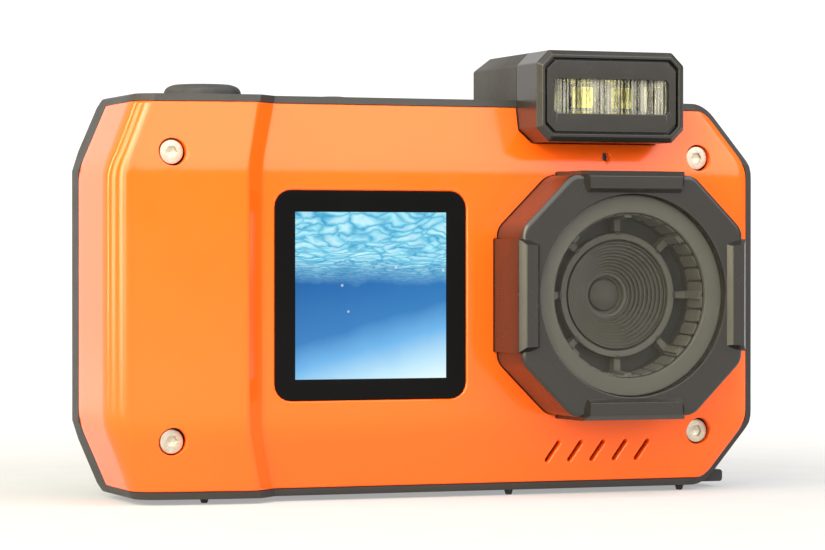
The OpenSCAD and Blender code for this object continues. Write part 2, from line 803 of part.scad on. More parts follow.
module speaker() {
    middle = [lens_x - 1, -24.9];
    color("#2a2a2a") placed() {
        prism(4.6, 7.4) translate(middle) polygon(rounded(box_points(17, 7), [for (i = [0:3]) 1.5]));
        prism(4.2, 4.62) translate(middle) polygon(rounded(box_points(15.5, 5.6), [for (i = [0:3]) 1.2]));
    }
}

// A push button on the top, drawn about its own middle, with its stem down to the switch.
module top_button(at, r, rise, stem_r) {
    translate([at[0], at[1], half_h]) rotate_extrude() polygon([
        [0, rise], [r * 0.55, rise - 0.06], [r - 0.9, rise - 0.3], [r - 0.25, rise - 0.75], [r, rise - 1.3],
        [r, -1.6], [stem_r, -1.6], [stem_r, -well_depth - stem_below], [0, -well_depth - stem_below]]);
}

module shutter_button() {
    color(KEY_COLOR) placed() top_button(shutter_at, shutter_r, shutter_rise, shutter_stem);
}

module power_button() {
    color(KEY_COLOR) placed() top_button(power_at, power_r, power_rise, power_stem);
}

module button_seals() {
    color("#1c1c1c") placed() for (q = [[shutter_at, shutter_stem], [power_at, power_stem]])
        translate([q[0][0], q[0][1], half_h - well_depth + 0.62]) rotate_extrude()
            translate([q[1] + 0.38, 0]) circle(r = 0.3, $fn = 24);
}

module top_board() {
    z = half_h - well_depth - top_board_drop;
    color(BOARD_COLOR) placed() {
        block([-29.6, 7.5, z - board_t], [3, 16, z]);
        // a switch under each button, clear of its stem by a little more than the travel
        for (q = [[shutter_at, shutter_travel], [power_at, power_travel]]) translate([q[0][0], q[0][1], z]) {
            translate([-2.3, -2.3, 0]) cube([4.6, 4.6, 0.9]);
            cylinder(r = 1.1, h = top_board_drop - stem_below - q[1] - 0.2);
        }
    }
}

// A rear key: cap, and a flange behind the wall.
module round_key(x, z, r) {
    round_key_plain(x, z, r);
    rod(x, z, body_back - key_wall - key_foot, body_back - key_wall - 0.1, r + key_flange);
}
module round_key_plain(x, z, r) {
    rod(x, z, body_back - key_wall - key_foot, body_back + key_rise - key_edge, r);
    rod(x, z, body_back + key_rise - key_edge - eps, body_back + key_rise, r - key_edge);
}
module sector_key(a) {
    prism(body_back - key_wall - key_foot, body_back + key_rise - key_edge)
        translate([pad_x, pad_z]) rotate(a) pad_sector(0);
    prism(body_back + key_rise - key_edge - eps, body_back + key_rise)
        translate([pad_x, pad_z]) rotate(a) pad_sector(key_edge);
}

module mode_key() { color(KEY_COLOR) placed() round_key(small_keys[0][0], small_keys[0][1], small_key_r); }
module playback_key() {
    color(KEY_COLOR) placed() round_key(small_keys[1][0], small_keys[1][1], small_key_r);
}
module menu_key() { color(KEY_COLOR) placed() round_key(small_keys[2][0], small_keys[2][1], small_key_r); }
module delete_key() { color(KEY_COLOR) placed() round_key(small_keys[3][0], small_keys[3][1], small_key_r); }
module ok_key() { color(KEY_COLOR) placed() round_key_plain(pad_x, pad_z, ok_r); }
module right_key() { color(KEY_COLOR) placed() sector_key(0); }
module up_key() { color(KEY_COLOR) placed() sector_key(90); }
module left_key() { color(KEY_COLOR) placed() sector_key(180); }
module down_key() { color(KEY_COLOR) placed() sector_key(270); }

module zoom_rocker() {
    color(KEY_COLOR) placed() {
        prism(body_back - key_wall - 0.4, body_back + key_rise - key_edge)
            translate([pad_x, rocker_z]) pill(rocker_size[0], rocker_size[1]);
        prism(body_back + key_rise - key_edge - eps, body_back + key_rise)
            translate([pad_x, rocker_z]) pill(rocker_size[0] - 2 * key_edge, rocker_size[1] - 2 * key_edge);
        translate([pad_x, body_back - key_wall - 0.4, rocker_z - 2]) cylinder(r = 0.5, h = 4);
    }
}

// A sheet behind the rear keys, from depth y back, clear of the screw bosses.
module key_sheet(y) {
    difference() {
        block([pad_x - 12.2, y, -22], [pad_x + 12.2, y + board_t, 24]);
        for (s = screw_sites) rod(s[0], s[1], 0, 30, cover_boss_r);
    }
}

module key_membrane() { color("#6a6a6c") placed() key_sheet(body_back - key_wall - 2.1); }
module key_board() { color(BOARD_COLOR) placed() key_sheet(body_back - key_wall - 3); }

module rear_window() {
    color("#141416") placed() prism(body_back - 1.05, body_back - 0.1) translate([rear_x, 0])
        polygon(rounded(box_points(rear_window_size[0], rear_window_size[1]), [for (i = [0:3]) 2.45]));
}

module rear_display() {
    color("#20242c") placed() prism(body_back - 3.4, body_back - 1.1) translate([rear_x, 0])
        polygon(box_points(rear_active[0] + 0.9, rear_active[1] + 0.9));
}

module main_board() {
    color(BOARD_COLOR) placed() difference() {
        block([-28, 14.6, -22.5], [21.4, 15.6, 20]);
        for (q = board_screw_sites) rod(q[0], q[1], 0, 30, 0.9);
    }
}
board_screw_sites = [[-26, -20.5], [19.4, -20.5], [-26, 18], [19.4, 18]];

module main_chips() {
    color("#2b2b2e") placed() {
        block([-6, 13.2, -8], [8, 14.58, 6]);
        block([-22, 13.5, -6], [-12, 14.58, 2]);
        block([12, 13.6, 8], [19, 14.58, 16]);
        block([-20, 13.7, 8], [-10, 14.58, 14]);
        block([-4, 13, -22], [10, 14.58, -18]);
    }
}

module board_screws() {
    color("silver") placed() for (q = board_screw_sites) {
        rod(q[0], q[1], 13.7, 14.58, 1.7);
        rod(q[0], q[1], 14.5, 18, 0.8);
    }
}

module battery() {
    color("#2d6fb0") placed() block(battery_at, battery_at + battery_size);
}

module battery_tray() {
    t = 0.8;
    color("#3a3a3c") placed() difference() {
        block(battery_at - [t + 2.2, t, t + 0.2], battery_at + battery_size + [0, t, t + 0.2]);
        block(battery_at - [2.2, 0.1, 0.2], battery_at + battery_size + [1, 0.1, 0.2]);
        // open at the back behind the rear screen
        block([battery_at[0] + 2, battery_at[1] + 1, -15], [battery_at[0] + 34, battery_at[1] + 9, 15]);
    }
}

module battery_contacts() {
    color("gold") placed() for (z = [-6, 0, 6])
        block([battery_at[0] - 2.1, battery_at[1] + 1.5, z - 0.6],
            [battery_at[0] - 0.05, battery_at[1] + 3.5, z + 0.6]);
}

module side_board() {
    color(BOARD_COLOR) placed() block([53.6, side_board_y, -15.5], [63.4, side_board_y + board_t, 15.5]);
}

module card_slot() {
    y = side_board_y - 1.9;
    color("silver") placed() difference() {
        block([54, y, 1.2], [63.4, side_board_y - 0.02, 14.5]);
        block([53, y + 0.4, 2.1], [64, y + 1.3, 13.6]);
    }
}

module memory_card() {
    y = side_board_y - 1.45;
    color("#202020") placed() block([54.4, y, 2.3], [65, y + 0.75, 13.4]);
}

module usb_port() {
    y = side_board_y - 3.2;
    color("silver") placed() difference() {
        prism_x(57, 64.6) translate([y + 1.6, -8]) pill_up(3.2, 9);
        prism_x(57.6, 66) translate([y + 1.6, -8]) pill_up(2.5, 8.3);
    }
    color("#202020") placed() block([57.3, y + 1.25, -11], [63.6, y + 1.95, -5]);
}
module prism_x(x0, x1) { translate([x0, 0, 0]) rotate([90, 0, 90]) linear_extrude(x1 - x0) children(); }
module pill_up(w, h) {
    square([w, h - w], center = true);
    for (s = [-1, 1]) translate([0, s * (h - w) / 2]) circle(d = w);
}

module side_door() {
    x0 = body_right - door_inner;
    color(SHELL_COLOR) placed() difference() {
        union() {
            block([x0, door_y[0], -door_half], [body_right, hinge_y - 1.15, door_half]);
            intersection() {
                union() {
                    translate([hinge_x, hinge_y, -knuckle_half])
                        cylinder(r = knuckle_r, h = 2 * knuckle_half);
                    block([hinge_x - 0.6, hinge_y - 1.2, -knuckle_half],
                        [hinge_x + 0.6, hinge_y, knuckle_half]);
                }
                block([0, 0, -40], [body_right, 40, 40]);
            }
        }
        // guide for the latch, and the slot for its tongue
        block([body_right - 1.1, door_y[0] + 1.4, -6.9], [body_right + 1, door_y[0] + 6.2, 6.9]);
        block([tongue_x[0] - 0.1, door_y[0] - 1, -4.2], [tongue_x[1] + 0.1, door_y[0] + 3, 3.2]);
        translate([hinge_x, hinge_y, -20]) cylinder(r = hinge_pin_r + fit, h = 40);
    }
}

module door_latch() {
    y = door_y[0];
    color("#8a8a8c") placed() {
        difference() {
            block([body_right - 1.0, y + 1.6, -2.6], [body_right - 0.1, y + 6.0, 6.4]);
            for (k = [0:5]) block([body_right - 0.4, y, -1.6 + 1.3 * k], [body_right, y + 7, -1.0 + 1.3 * k]);
        }
        block([tongue_x[0], y - 1, 0.2], [tongue_x[1], y + 2, 2.6]);
    }
}

module door_seal() {
    color("#b8431f") placed() difference() {
        block([body_right - ledge_depth + 0.05, 6.5, -17.5], [body_right - door_inner - 0.02, 19.1, 17.5]);
        block([0, 7.3, -16.7], [100, 18.4, 16.7]);
    }
}

module door_hinge_pin() {
    color("silver") placed() translate([hinge_x, hinge_y, -knuckle_half - 0.3 - lug_knuckle])
        cylinder(r = hinge_pin_r, h = 2 * (knuckle_half + 0.3 + lug_knuckle));
}

module tripod_insert() {
    color("#c8a24a") placed() translate([tripod_at[0], tripod_at[1], -half_h]) difference() {
        cylinder(r = insert_r - 0.02, h = insert_h);
        translate([0, 0, -1]) cylinder(r = tripod_r, h = insert_h);
    }
}

// A low block under the bottom right corner cut, with a slot for a wrist strap.
module strap_lug() {
    low = -half_h;
    color(SHELL_COLOR) placed() difference() {
        prism(9.5, 16.5) polygon(rounded([[58, low], [lug_right, low], [lug_right, low + lug_height],
            [58, low + lug_height]], [0.2, 0.5, 0.5, 0.2]));
        block([62.6, 11.4, low - 1], [64.9, 14.6, low + 8]);
        prism(0, 30) polygon(body_outline(-0.02));
    }
}

module rest_feet() {
    color("#2a2a2a") placed() for (x = foot_x, y = foot_y)
        translate([x, y, -half_h - foot_height]) cylinder(r1 = 0.5, r2 = 0.75, h = foot_height);
}

front_cover();
rear_shell();
cover_seal();
cover_screws();
front_window();
front_display();
lens_bezel();
lens_window();
lens_seal();
lens_ring();
dial_ring();
stepped_baffle();
lens_barrel();
front_lens();
rear_lens();
image_sensor();
sensor_board();
flash_housing();
flash_trim();
flash_lens();
flash_reflector();
flash_leds();
flash_board();
microphone();
speaker();
shutter_button();
power_button();
button_seals();
top_board();
zoom_rocker();
mode_key();
playback_key();
up_key();
down_key();
left_key();
right_key();
ok_key();
menu_key();
delete_key();
key_membrane();
key_board();
rear_window();
rear_display();
main_board();
main_chips();
battery();
battery_tray();
battery_contacts();
side_board();
card_slot();
memory_card();
usb_port();
side_door();
door_seal();
door_latch();
door_hinge_pin();
tripod_insert();
strap_lug();
rest_feet();
board_screws();
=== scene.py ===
"""Looks of a rugged waterproof action camera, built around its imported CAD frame."""
import json
import math
import bmesh
import bpy
from mathutils import Matrix, Vector


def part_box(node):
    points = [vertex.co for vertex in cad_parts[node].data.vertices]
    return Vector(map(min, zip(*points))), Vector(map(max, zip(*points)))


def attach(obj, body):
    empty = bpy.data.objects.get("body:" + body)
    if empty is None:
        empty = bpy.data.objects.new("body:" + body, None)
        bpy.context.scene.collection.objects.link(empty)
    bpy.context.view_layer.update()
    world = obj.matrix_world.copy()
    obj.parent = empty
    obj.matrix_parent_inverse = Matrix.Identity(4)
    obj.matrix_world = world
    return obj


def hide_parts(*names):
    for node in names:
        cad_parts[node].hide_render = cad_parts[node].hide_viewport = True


MM = 0.001

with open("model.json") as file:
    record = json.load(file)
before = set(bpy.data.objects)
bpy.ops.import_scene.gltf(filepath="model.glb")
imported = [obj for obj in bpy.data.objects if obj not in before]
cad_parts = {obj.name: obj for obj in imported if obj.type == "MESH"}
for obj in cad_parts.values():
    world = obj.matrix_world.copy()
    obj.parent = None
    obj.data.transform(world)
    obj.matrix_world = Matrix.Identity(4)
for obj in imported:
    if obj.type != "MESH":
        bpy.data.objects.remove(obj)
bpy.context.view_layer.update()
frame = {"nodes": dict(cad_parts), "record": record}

# Shapes are drawn in millimetres in the panel frame: X to the right, Y to the back and Z up, from
# the middle of the front screen, on the plane of the front panel.
WINDOW_LOW, WINDOW_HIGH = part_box("front_window")
WINDOW_DEPTH = 0.15
WINDOW_MIDDLE_Z = 0.07
WINDOW_SIZE = (32.3, 33.2)
WINDOW_CORNER = 2.65
WINDOW_GAP = 0.05
ORIGIN = Vector((
    (WINDOW_LOW.x + WINDOW_HIGH.x) / 2,
    WINDOW_LOW.y - WINDOW_DEPTH * MM,
    (WINDOW_LOW.z + WINDOW_HIGH.z) / 2 - WINDOW_MIDDLE_Z * MM,
))


def panel_box(*names):
    """Lowest and highest corner of some CAD nodes, in panel millimetres."""
    boxes = [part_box(name) for name in names]
    low = Vector([min(b[0][k] for b in boxes) for k in range(3)])
    high = Vector([max(b[1][k] for b in boxes) for k in range(3)])
    return (low - ORIGIN) / MM, (high - ORIGIN) / MM


# ---------------------------------------------------------------- materials

def srgb(red, green, blue):
    """A colour given as 0 to 255 on a screen, as a linear colour."""
    return [((c / 255 + 0.055) / 1.055) ** 2.4 for c in (red, green, blue)] + [1]


def scaled(colour, factor):
    """A colour made lighter or darker."""
    return [min(1, c * factor) for c in colour[:3]] + [1]


class Shader:
    """A material's node tree, with short ways to add nodes to it."""

    def __init__(self, name, **sockets):
        self.material = bpy.data.materials.new(name)
        self.material.use_nodes = True
        self.tree = self.material.node_tree
        self.surface = self.tree.nodes["Principled BSDF"]
        self.coords = self.add("ShaderNodeTexCoord").outputs["Object"]
        for socket, value in sockets.items():
            self.surface.inputs[socket.replace("_", " ")].default_value = value

    def add(self, kind, links=(), **settings):
        node = self.tree.nodes.new(kind)
        for key, value in settings.items():
            setattr(node, key, value)
        for socket, value in dict(links).items():
            if isinstance(value, bpy.types.NodeSocket):
                self.tree.links.new(value, node.inputs[socket])
            else:
                node.inputs[socket].default_value = value
        return node

    def noise(self, size, detail=2.0, stretch=(1, 1, 1)):
        """Noise with features of that size in metres, smaller along the axes that stretch names."""
        scale = self.add("ShaderNodeMapping", {"Vector": self.coords, "Scale": stretch})
        links = {"Vector": scale.outputs[0], "Scale": 1 / size, "Detail": detail}
        return self.add("ShaderNodeTexNoise", links).outputs["Fac"]

    def cells(self, size):
        """Distance to the nearest of a crowd of points about that far apart."""
        links = {"Vector": self.coords, "Scale": 1 / size}
        return self.add("ShaderNodeTexVoronoi", links).outputs["Distance"]

    def ramp(self, value, *stops):
        """A colour ramp: each stop is (place, colour)."""
        node = self.add("ShaderNodeValToRGB", {"Fac": value})
        elements = node.color_ramp.elements
        while len(elements) < len(stops):
            elements.new(0.5)
        for element, (place, colour) in zip(elements, stops):
            element.position = place
            element.color = colour
        return node.outputs["Color"]

    def spread(self, value, low, high, start=0.3, end=0.7):
        """Maps values from start to end, a noise's usual ones, to the range from low to high."""
        links = {"Value": value, "From Min": start, "From Max": end, "To Min": low, "To Max": high}
        return self.add("ShaderNodeMapRange", links).outputs["Result"]

    def math(self, operation, a, b=0.0):
        node = self.add("ShaderNodeMath", {0: a, 1: b}, operation=operation)
        return node.outputs[0]

    def mix(self, factor, a, b):
        node = self.add("ShaderNodeMix", data_type="RGBA")
        for index, value in ((0, factor), (6, a), (7, b)):
            if isinstance(value, bpy.types.NodeSocket):
                self.tree.links.new(value, node.inputs[index])
            else:
                node.inputs[index].default_value = value
        return node.outputs[2]

    def colour(self, value):
        self.tree.links.new(value, self.surface.inputs["Base Color"])

    def roughness(self, value):
        self.tree.links.new(value, self.surface.inputs["Roughness"])

    def bump(self, height, depth, distance=0.0001):
        node = self.add("ShaderNodeBump", {"Height": height, "Strength": depth, "Distance": distance})
        self.tree.links.new(node.outputs["Normal"], self.surface.inputs["Normal"])


def plastic(name, colour, rough=(0.3, 0.4), grain=0.0004, depth=0.1, tint=0.06, **sockets):
    """Moulded plastic: a fine grain, and slow changes of colour and gloss."""
    s = Shader(name, **sockets)
    slow = s.noise(0.018, 3)
    s.colour(s.ramp(slow, (0.3, scaled(colour, 1 - tint)), (0.7, scaled(colour, 1 + tint))))
    s.roughness(s.spread(s.noise(0.004, 4), *rough))
    s.bump(s.noise(grain, 3), depth)
    return s.material


def textured_plastic(name, colour, rough=(0.5, 0.62), size=0.00045, depth=0.35, tint=0.05):
    """Plastic with the pebbled texture of a spark-eroded mould."""
    s = Shader(name, Specular_IOR_Level=0.4)
    mixed = s.math("MULTIPLY", s.cells(size), s.noise(size * 1.6, 3))
    s.colour(s.ramp(s.noise(0.02, 3), (0.3, scaled(colour, 1 - tint)), (0.7, scaled(colour, 1 + tint))))
    s.roughness(s.spread(s.noise(0.006, 4), *rough))
    s.bump(mixed, depth, 0.00012)
    return s.material


def metal(name, colour, rough=(0.22, 0.36), stretch=(1, 1, 1), grain=0.0003, depth=0.12):
    """Metal with fine scratches, along the axis where stretch is small."""
    s = Shader(name, Metallic=1.0)
    fine = s.noise(grain, 4, stretch)
    s.colour(s.ramp(fine, (0.25, scaled(colour, 0.8)), (0.75, scaled(colour, 1.12))))
    s.roughness(s.spread(s.noise(0.0012, 3, stretch), *rough))
    s.bump(fine, depth, 0.00004)
    return s.material


def ribbed_clear_painted_glints(name, low, high, **sockets):
    """Clear plastic with upright lines painted dark and bright into its colour and opacity: painted shade
    and painted glints that stand in for light bent by its ribs.
    """
    s = Shader(name, **sockets)
    painted_rib_light_lines = s.math("ADD", s.math("MULTIPLY", s.noise(0.0006, 2, (1, 1, 0.04)), 0.75),
                   s.math("MULTIPLY", s.noise(0.0005, 3, (1, 1, 0.5)), 0.25))
    # Dark and bright lines painted into the pane's colour: painted shade and painted glints of the ribs.
    s.colour(s.ramp(painted_rib_light_lines, (0.42, low), (0.56, high)))
    s.tree.links.new(s.ramp(painted_rib_light_lines, (0.4, (0.6,) * 3 + (1,)), (0.56, (0.12,) * 3 + (1,))),
                     s.surface.inputs["Alpha"])
    s.roughness(s.spread(s.noise(0.002, 3), 0.08, 0.14))
    return s.material


def rubber(name, colour):
    """Matt rubber with a fine grain."""
    s = Shader(name)
    s.colour(s.ramp(s.noise(0.003, 4), (0.3, scaled(colour, 0.8)), (0.7, scaled(colour, 1.3))))
    s.roughness(s.spread(s.noise(0.001, 3), 0.6, 0.8))
    s.bump(s.noise(0.0002, 4), 0.3)
    return s.material


def circuit_board(name):
    """Green solder mask over darker tracks, with pale pads."""
    s = Shader(name, Coat_Weight=0.3)
    links = {"Vector": s.coords, "Scale": 420, "Mortar Size": 0.03,
             "Color1": srgb(20, 92, 58), "Color2": srgb(26, 108, 68), "Mortar": srgb(12, 62, 40)}
    tracks = s.add("ShaderNodeTexBrick", links)
    pads = s.ramp(s.cells(0.0016), (0.16, srgb(196, 176, 110)), (0.2, srgb(0, 0, 0)))
    share = s.ramp(s.cells(0.0016), (0.16, (1, 1, 1, 1)), (0.2, (0, 0, 0, 1)))
    s.colour(s.mix(share, tracks.outputs["Color"], pads))
    s.roughness(s.spread(s.noise(0.002, 3), 0.3, 0.5))
    s.bump(tracks.outputs["Fac"], 0.2, 0.00003)
    return s.material


MATERIALS = {
    "cover": plastic("orange_cover", srgb(244, 92, 14), (0.14, 0.19), 0.0004, 0.012, 0.03,
                     Specular_IOR_Level=0.48),
    "shell": textured_plastic("grey_shell", srgb(44, 42, 41)),
    "housing": plastic("grey_housing", srgb(36, 34, 31), (0.24, 0.28), 0.0003, 0.02),
    "key": rubber("key_rubber", srgb(44, 44, 48)),
    "screw_steel": metal("screw_steel", srgb(206, 197, 178), (0.36, 0.46), depth=0.06),
    "black_glass": plastic("black_glass", srgb(14, 14, 15), (0.14, 0.2), 0.002, 0.01,
                           Specular_IOR_Level=0.04),
    "lens_glass": plastic("hazy_glass", srgb(70, 68, 62), (0.2, 0.26), 0.004, 0.01, Alpha=0.1),
    "optic": plastic("optic_glass", srgb(78, 77, 72), (0.5, 0.6), 0.002, 0.01, Specular_IOR_Level=0.05),
    "clear_plastic": ribbed_clear_painted_glints("clear_plastic", srgb(30, 30, 28), srgb(226, 226, 216)),
    "lens_inner": plastic("lens_inner", srgb(80, 79, 73), (0.4, 0.5), 0.0006, 0.02, 0.03,
                          Specular_IOR_Level=0.3),
    # Black of the lens barrel; also used as painted shade in the dial's gutter, the funnel's groove and its
    # step faces.
    "lens_black": plastic("lens_black", srgb(26, 26, 25), (0.45, 0.55), 0.0003, 0.06),
    "display": plastic("display_module", srgb(30, 36, 48), (0.2, 0.3), 0.001, 0.04),
    "reflector": metal("chrome", srgb(176, 174, 160), (0.12, 0.2), grain=0.002, depth=0.03),
    # The phosphor's yellow is its own colour; its emission is painted light, a glow that makes it read
    # brighter.
    "led": plastic("led_phosphor_painted_glow", srgb(240, 224, 40), (0.3, 0.4), 0.0003, 0.1,
                   Emission_Color=srgb(250, 240, 70), Emission_Strength=1.2),
    "board": circuit_board("green_board"),
    "chip": plastic("chip_resin", srgb(34, 34, 37), (0.45, 0.6), 0.0003, 0.2),
    "seal": rubber("seal_rubber", srgb(26, 26, 27)),
    "door_seal": rubber("door_seal_rubber", srgb(150, 66, 28)),
    "membrane": rubber("membrane_rubber", srgb(112, 112, 116)),
    "battery_wrap": plastic("battery_wrap", srgb(40, 96, 160), (0.3, 0.45), 0.001, 0.1),
    "contact": metal("gold_contact", srgb(230, 186, 90), (0.2, 0.3)),
    "sheet_metal": metal("sheet_metal", srgb(190, 192, 196), (0.28, 0.4), (1, 1, 8)),
    "insert_brass": metal("insert_brass", srgb(196, 160, 92), (0.25, 0.4), (1, 1, 8)),
    "latch": plastic("latch_grey", srgb(118, 118, 120), (0.4, 0.5), 0.0004, 0.15),
    "foot": rubber("foot_rubber", srgb(34, 34, 35)),
    "frame_plastic": plastic("frame_plastic", srgb(52, 52, 54), (0.45, 0.6), 0.0004, 0.25),
}


# ---------------------------------------------------------------- carried CAD nodes

def slots_by_node():
    """The material slot of each CAD node, from the record."""
    return {part["node"]: part["material_slot"] for part in frame["record"]["subparts"]}


def dress_cad_nodes(edge=0.12 * MM):
    """Gives each carried CAD node its material, and a small round on its edges."""
    for name, slot in slots_by_node().items():
        obj = frame["nodes"][name]
        obj.data.materials.clear()
        obj.data.materials.append(MATERIALS[slot])
        weld = obj.modifiers.new("weld", "WELD")
        weld.merge_threshold = 2e-6
        flat = obj.modifiers.new("flat", "DECIMATE")
        flat.decimate_type = "DISSOLVE"
        flat.angle_limit = math.radians(0.6)
        round_edges(obj, edge)


def round_edges(obj, width, segments=2, angle=35):
    """Rounds an object's sharp edges."""
    bevel = obj.modifiers.new("rounded", "BEVEL")
    bevel.width = width
    bevel.segments = segments
    bevel.limit_method = "ANGLE"
    bevel.angle_limit = math.radians(angle)
    bevel.use_clamp_overlap = True
    bevel.harden_normals = True


# ---------------------------------------------------------------- meshes

def rounded(points, radius, steps=6, splits=0):
    """A closed outline with arcs at its corners, and its straight stretches split in equal parts."""
    points = [Vector(p) for p in points]
    arcs = []
    for i, corner in enumerate(points):
        back = (points[i - 1] - corner).normalized()
        on = (points[(i + 1) % len(points)] - corner).normalized()
        half = back.angle(on) / 2
        centre = corner + (back + on).normalized() * radius / math.sin(half)
        start = corner + back * radius / math.tan(half) - centre
        end = corner + on * radius / math.tan(half) - centre
        turn = start.angle(end)
        arcs.append([
            centre + (start * math.sin((1 - k / steps) * turn) + end * math.sin(k / steps * turn))
            / math.sin(turn) for k in range(steps + 1)])
    outline = []
    for arc, following in zip(arcs, arcs[1:] + arcs[:1]):
        outline += arc
        outline += [arc[-1].lerp(following[0], k / (splits + 1)) for k in range(1, splits + 1)]
    return outline


def plate(width, height, radius, x=0.0, z=0.0, steps=5, splits=0):
    """A rounded rectangle's outline, as a function of how far it is drawn in."""
    def shape(d=0.0):
        w, h = width / 2 - d, height / 2 - d
        corners = [(x - w, z - h), (x + w, z - h), (x + w, z + h), (x - w, z + h)]
        return rounded(corners, max(radius - d, 0.02), steps, splits)
    return shape


def octagon(width, height, cut, radius, x=0.0, z=0.0, steps=5, splits=0):
    """A rectangle with its corners cut, as a function of how far it is drawn in."""
    def shape(d=0.0):
        w, h, c = width / 2 - d, height / 2 - d, cut - 0.586 * d
        corners = [(-w + c, -h), (w - c, -h), (w, -h + c), (w, h - c),
                   (w - c, h), (-w + c, h), (-w, h - c), (-w, -h + c)]
        return rounded([(x + a, z + b) for a, b in corners], max(radius - d, 0.05), steps, splits)
    return shape


def disc(radius, x=0.0, z=0.0, count=64):
    """A circle's outline, as a function of how far it is drawn in."""
    turns = [2 * math.pi * k / count for k in range(count)]
    return lambda d=0.0: [
        Vector((x + (radius - d) * math.cos(a), z + (radius - d) * math.sin(a))) for a in turns]


def around(outline, radius, x, z):
    """A circle's points in the same directions from its middle as an outline's points."""
    middle = Vector((x, z))
    return [middle + (p - middle).normalized() * radius for p in outline]


def upright(outline, y):
    """Places a front-view outline at a depth."""
    return [(p[0], y, p[1]) for p in outline]


def loft(bm, rings, loop=False, material=0):
    """Joins rings of points, each with as many points as the next. loop joins the last to the first."""
    made = [[bm.verts.new(p) for p in ring] for ring in rings]
    faces = []
    for a, b in zip(made, made[1:] + (made[:1] if loop else [])):
        for i in range(len(a)):
            j = (i + 1) % len(a)
            faces.append(bm.faces.new((a[i], a[j], b[j], b[i])))
    if not loop:
        faces += [bm.faces.new(made[0]), bm.faces.new(made[-1][::-1])]
    for face in faces:
        face.material_index = material
    return faces


def solid(bm, shape, profile, material=0, lean=None):
    """A closed solid from a shape and (inset, depth) pairs. lean adds a depth that depends on place."""
    rings = [upright(shape(d), y) for d, y in profile]
    if lean:
        rings = [[(x, y + lean(x, z), z) for x, y, z in ring] for ring in rings]
    return loft(bm, rings, material=material)


def turned(bm, x, z, profile, loop=True, count=96, material=0):
    """A solid turned about an axis along Y, from (radius, depth) pairs."""
    rings = [upright(disc(r, x, z, count)(), y) for r, y in profile]
    return loft(bm, rings, loop, material)


# Radius of the small flat where a domed solid ends on its axis.
TIP = 0.05


def soft_edges(front, back, radius, steps=3):
    """(inset, depth) pairs of a plate with rounded front and back edges."""
    turns = [math.radians(90 * k / steps) for k in range(steps + 1)]
    near = [(radius * (1 - math.sin(a)), front + radius * (1 - math.cos(a))) for a in turns]
    far = [(radius * (1 - math.cos(a)), back - radius * (1 - math.sin(a))) for a in turns]
    return near + far


def flare(radius, top=-6.0, steps=4):
    """(inset, depth) pairs of a cutter that rounds the rim of its hole."""
    turns = [math.radians(90 * k / steps) for k in range(steps + 1)]
    rim = [(-radius * (1 - math.sin(a)), radius * (1 - math.cos(a)) - 0.03) for a in turns]
    return [(-radius, top)] + rim


def bezier(a, b, c, steps=5):
    """Points of a curve from a to c that is drawn towards b."""
    a, b, c = Vector(a), Vector(b), Vector(c)
    return [a.lerp(b, k / steps).lerp(b.lerp(c, k / steps), k / steps) for k in range(steps + 1)]


def make_object(name, bm, *materials):
    """A mesh drawn in panel millimetres, as an object in the shared frame."""
    bm.transform(Matrix.Translation(ORIGIN) @ Matrix.Scale(MM, 4))
    bmesh.ops.recalc_face_normals(bm, faces=bm.faces)
    mesh = bpy.data.meshes.new(name)
    bm.to_mesh(mesh)
    bm.free()
    for material in materials:
        mesh.materials.append(material)
    obj = bpy.data.objects.new(name, mesh)
    bpy.context.scene.collection.objects.link(obj)
    return obj


def smooth(obj, angle=32):
    """Smooth shading, but for the sharp edges."""
    obj.data.shade_smooth()
    obj.data.set_sharp_from_angle(angle=math.radians(angle))
    obj.modifiers.new("shading", "WEIGHTED_NORMAL").keep_sharp = True
    return obj


def piece(name, bm, slot, node, *materials, body="camera", angle=32):
    """A finished piece that stands for a CAD node and rides on a body."""
    obj = make_object(name, bm, *(materials or [MATERIALS[slot]]))
    return finished(obj, node, body, angle)


def finished(obj, node, body="camera", angle=32):
    """Shades a piece, parents it to its body and hides the CAD node it stands for."""
    smooth(obj, angle)
    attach(obj, body)
    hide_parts(node)
    return obj


def settle(obj):
    """Turns an object's modifiers into its mesh."""
    graph = bpy.context.evaluated_depsgraph_get()
    old = obj.data
    obj.data = bpy.data.meshes.new_from_object(obj.evaluated_get(graph))
    obj.modifiers.clear()
    bpy.data.meshes.remove(old)


def carve(obj, *cutters):
    """Cuts each mesh out of an object, one after the other."""
    for bm in cutters:
        tool = make_object("cutter", bm)
        cut = obj.modifiers.new("cut", "BOOLEAN")
        cut.object = tool
        cut.solver = "EXACT"
        settle(obj)
        bpy.data.objects.remove(tool)
    return obj


# ---------------------------------------------------------------- body outline and front face

LIP = 1.2
COVER_LOW, COVER_HIGH = panel_box("front_cover")
HALF_HEIGHT = LIP - COVER_LOW.z
LEFT, RIGHT = COVER_LOW.x, panel_box("rear_shell")[1].x
WRAP_BACK = COVER_HIGH.y
WRAP_EDGE = -35.6
SKIRT_BACK = 4.4
LEFT_CUT = (5.1, 11.7)
RIGHT_CUT = (7.2, 10.4)
STEP_FOOT = 18.3
GRIP_RISE = 3.3
BEVEL_START = 19.1
BEVEL_BLEND = 3.6
BEVEL_DROP = 2.75
BEVEL_SLOPE = BEVEL_DROP / (HALF_HEIGHT - LIP - BEVEL_START - BEVEL_BLEND / 2)
LEFT_ROUND = (4.1, 4.3)
ROLL_WIDTH = 4.4
ROLL_BEND = 0.08
CORNER_ROUND = 1.6
RIM_BEND = 0.28


def bevel(z):
    """How far the top and bottom bevels fall back at height z."""
    a = abs(z) - BEVEL_START
    if a <= 0:
        return 0.0
    if a < BEVEL_BLEND:
        return BEVEL_SLOPE * a * a / (2 * BEVEL_BLEND)
    return BEVEL_SLOPE * (a - BEVEL_BLEND / 2)


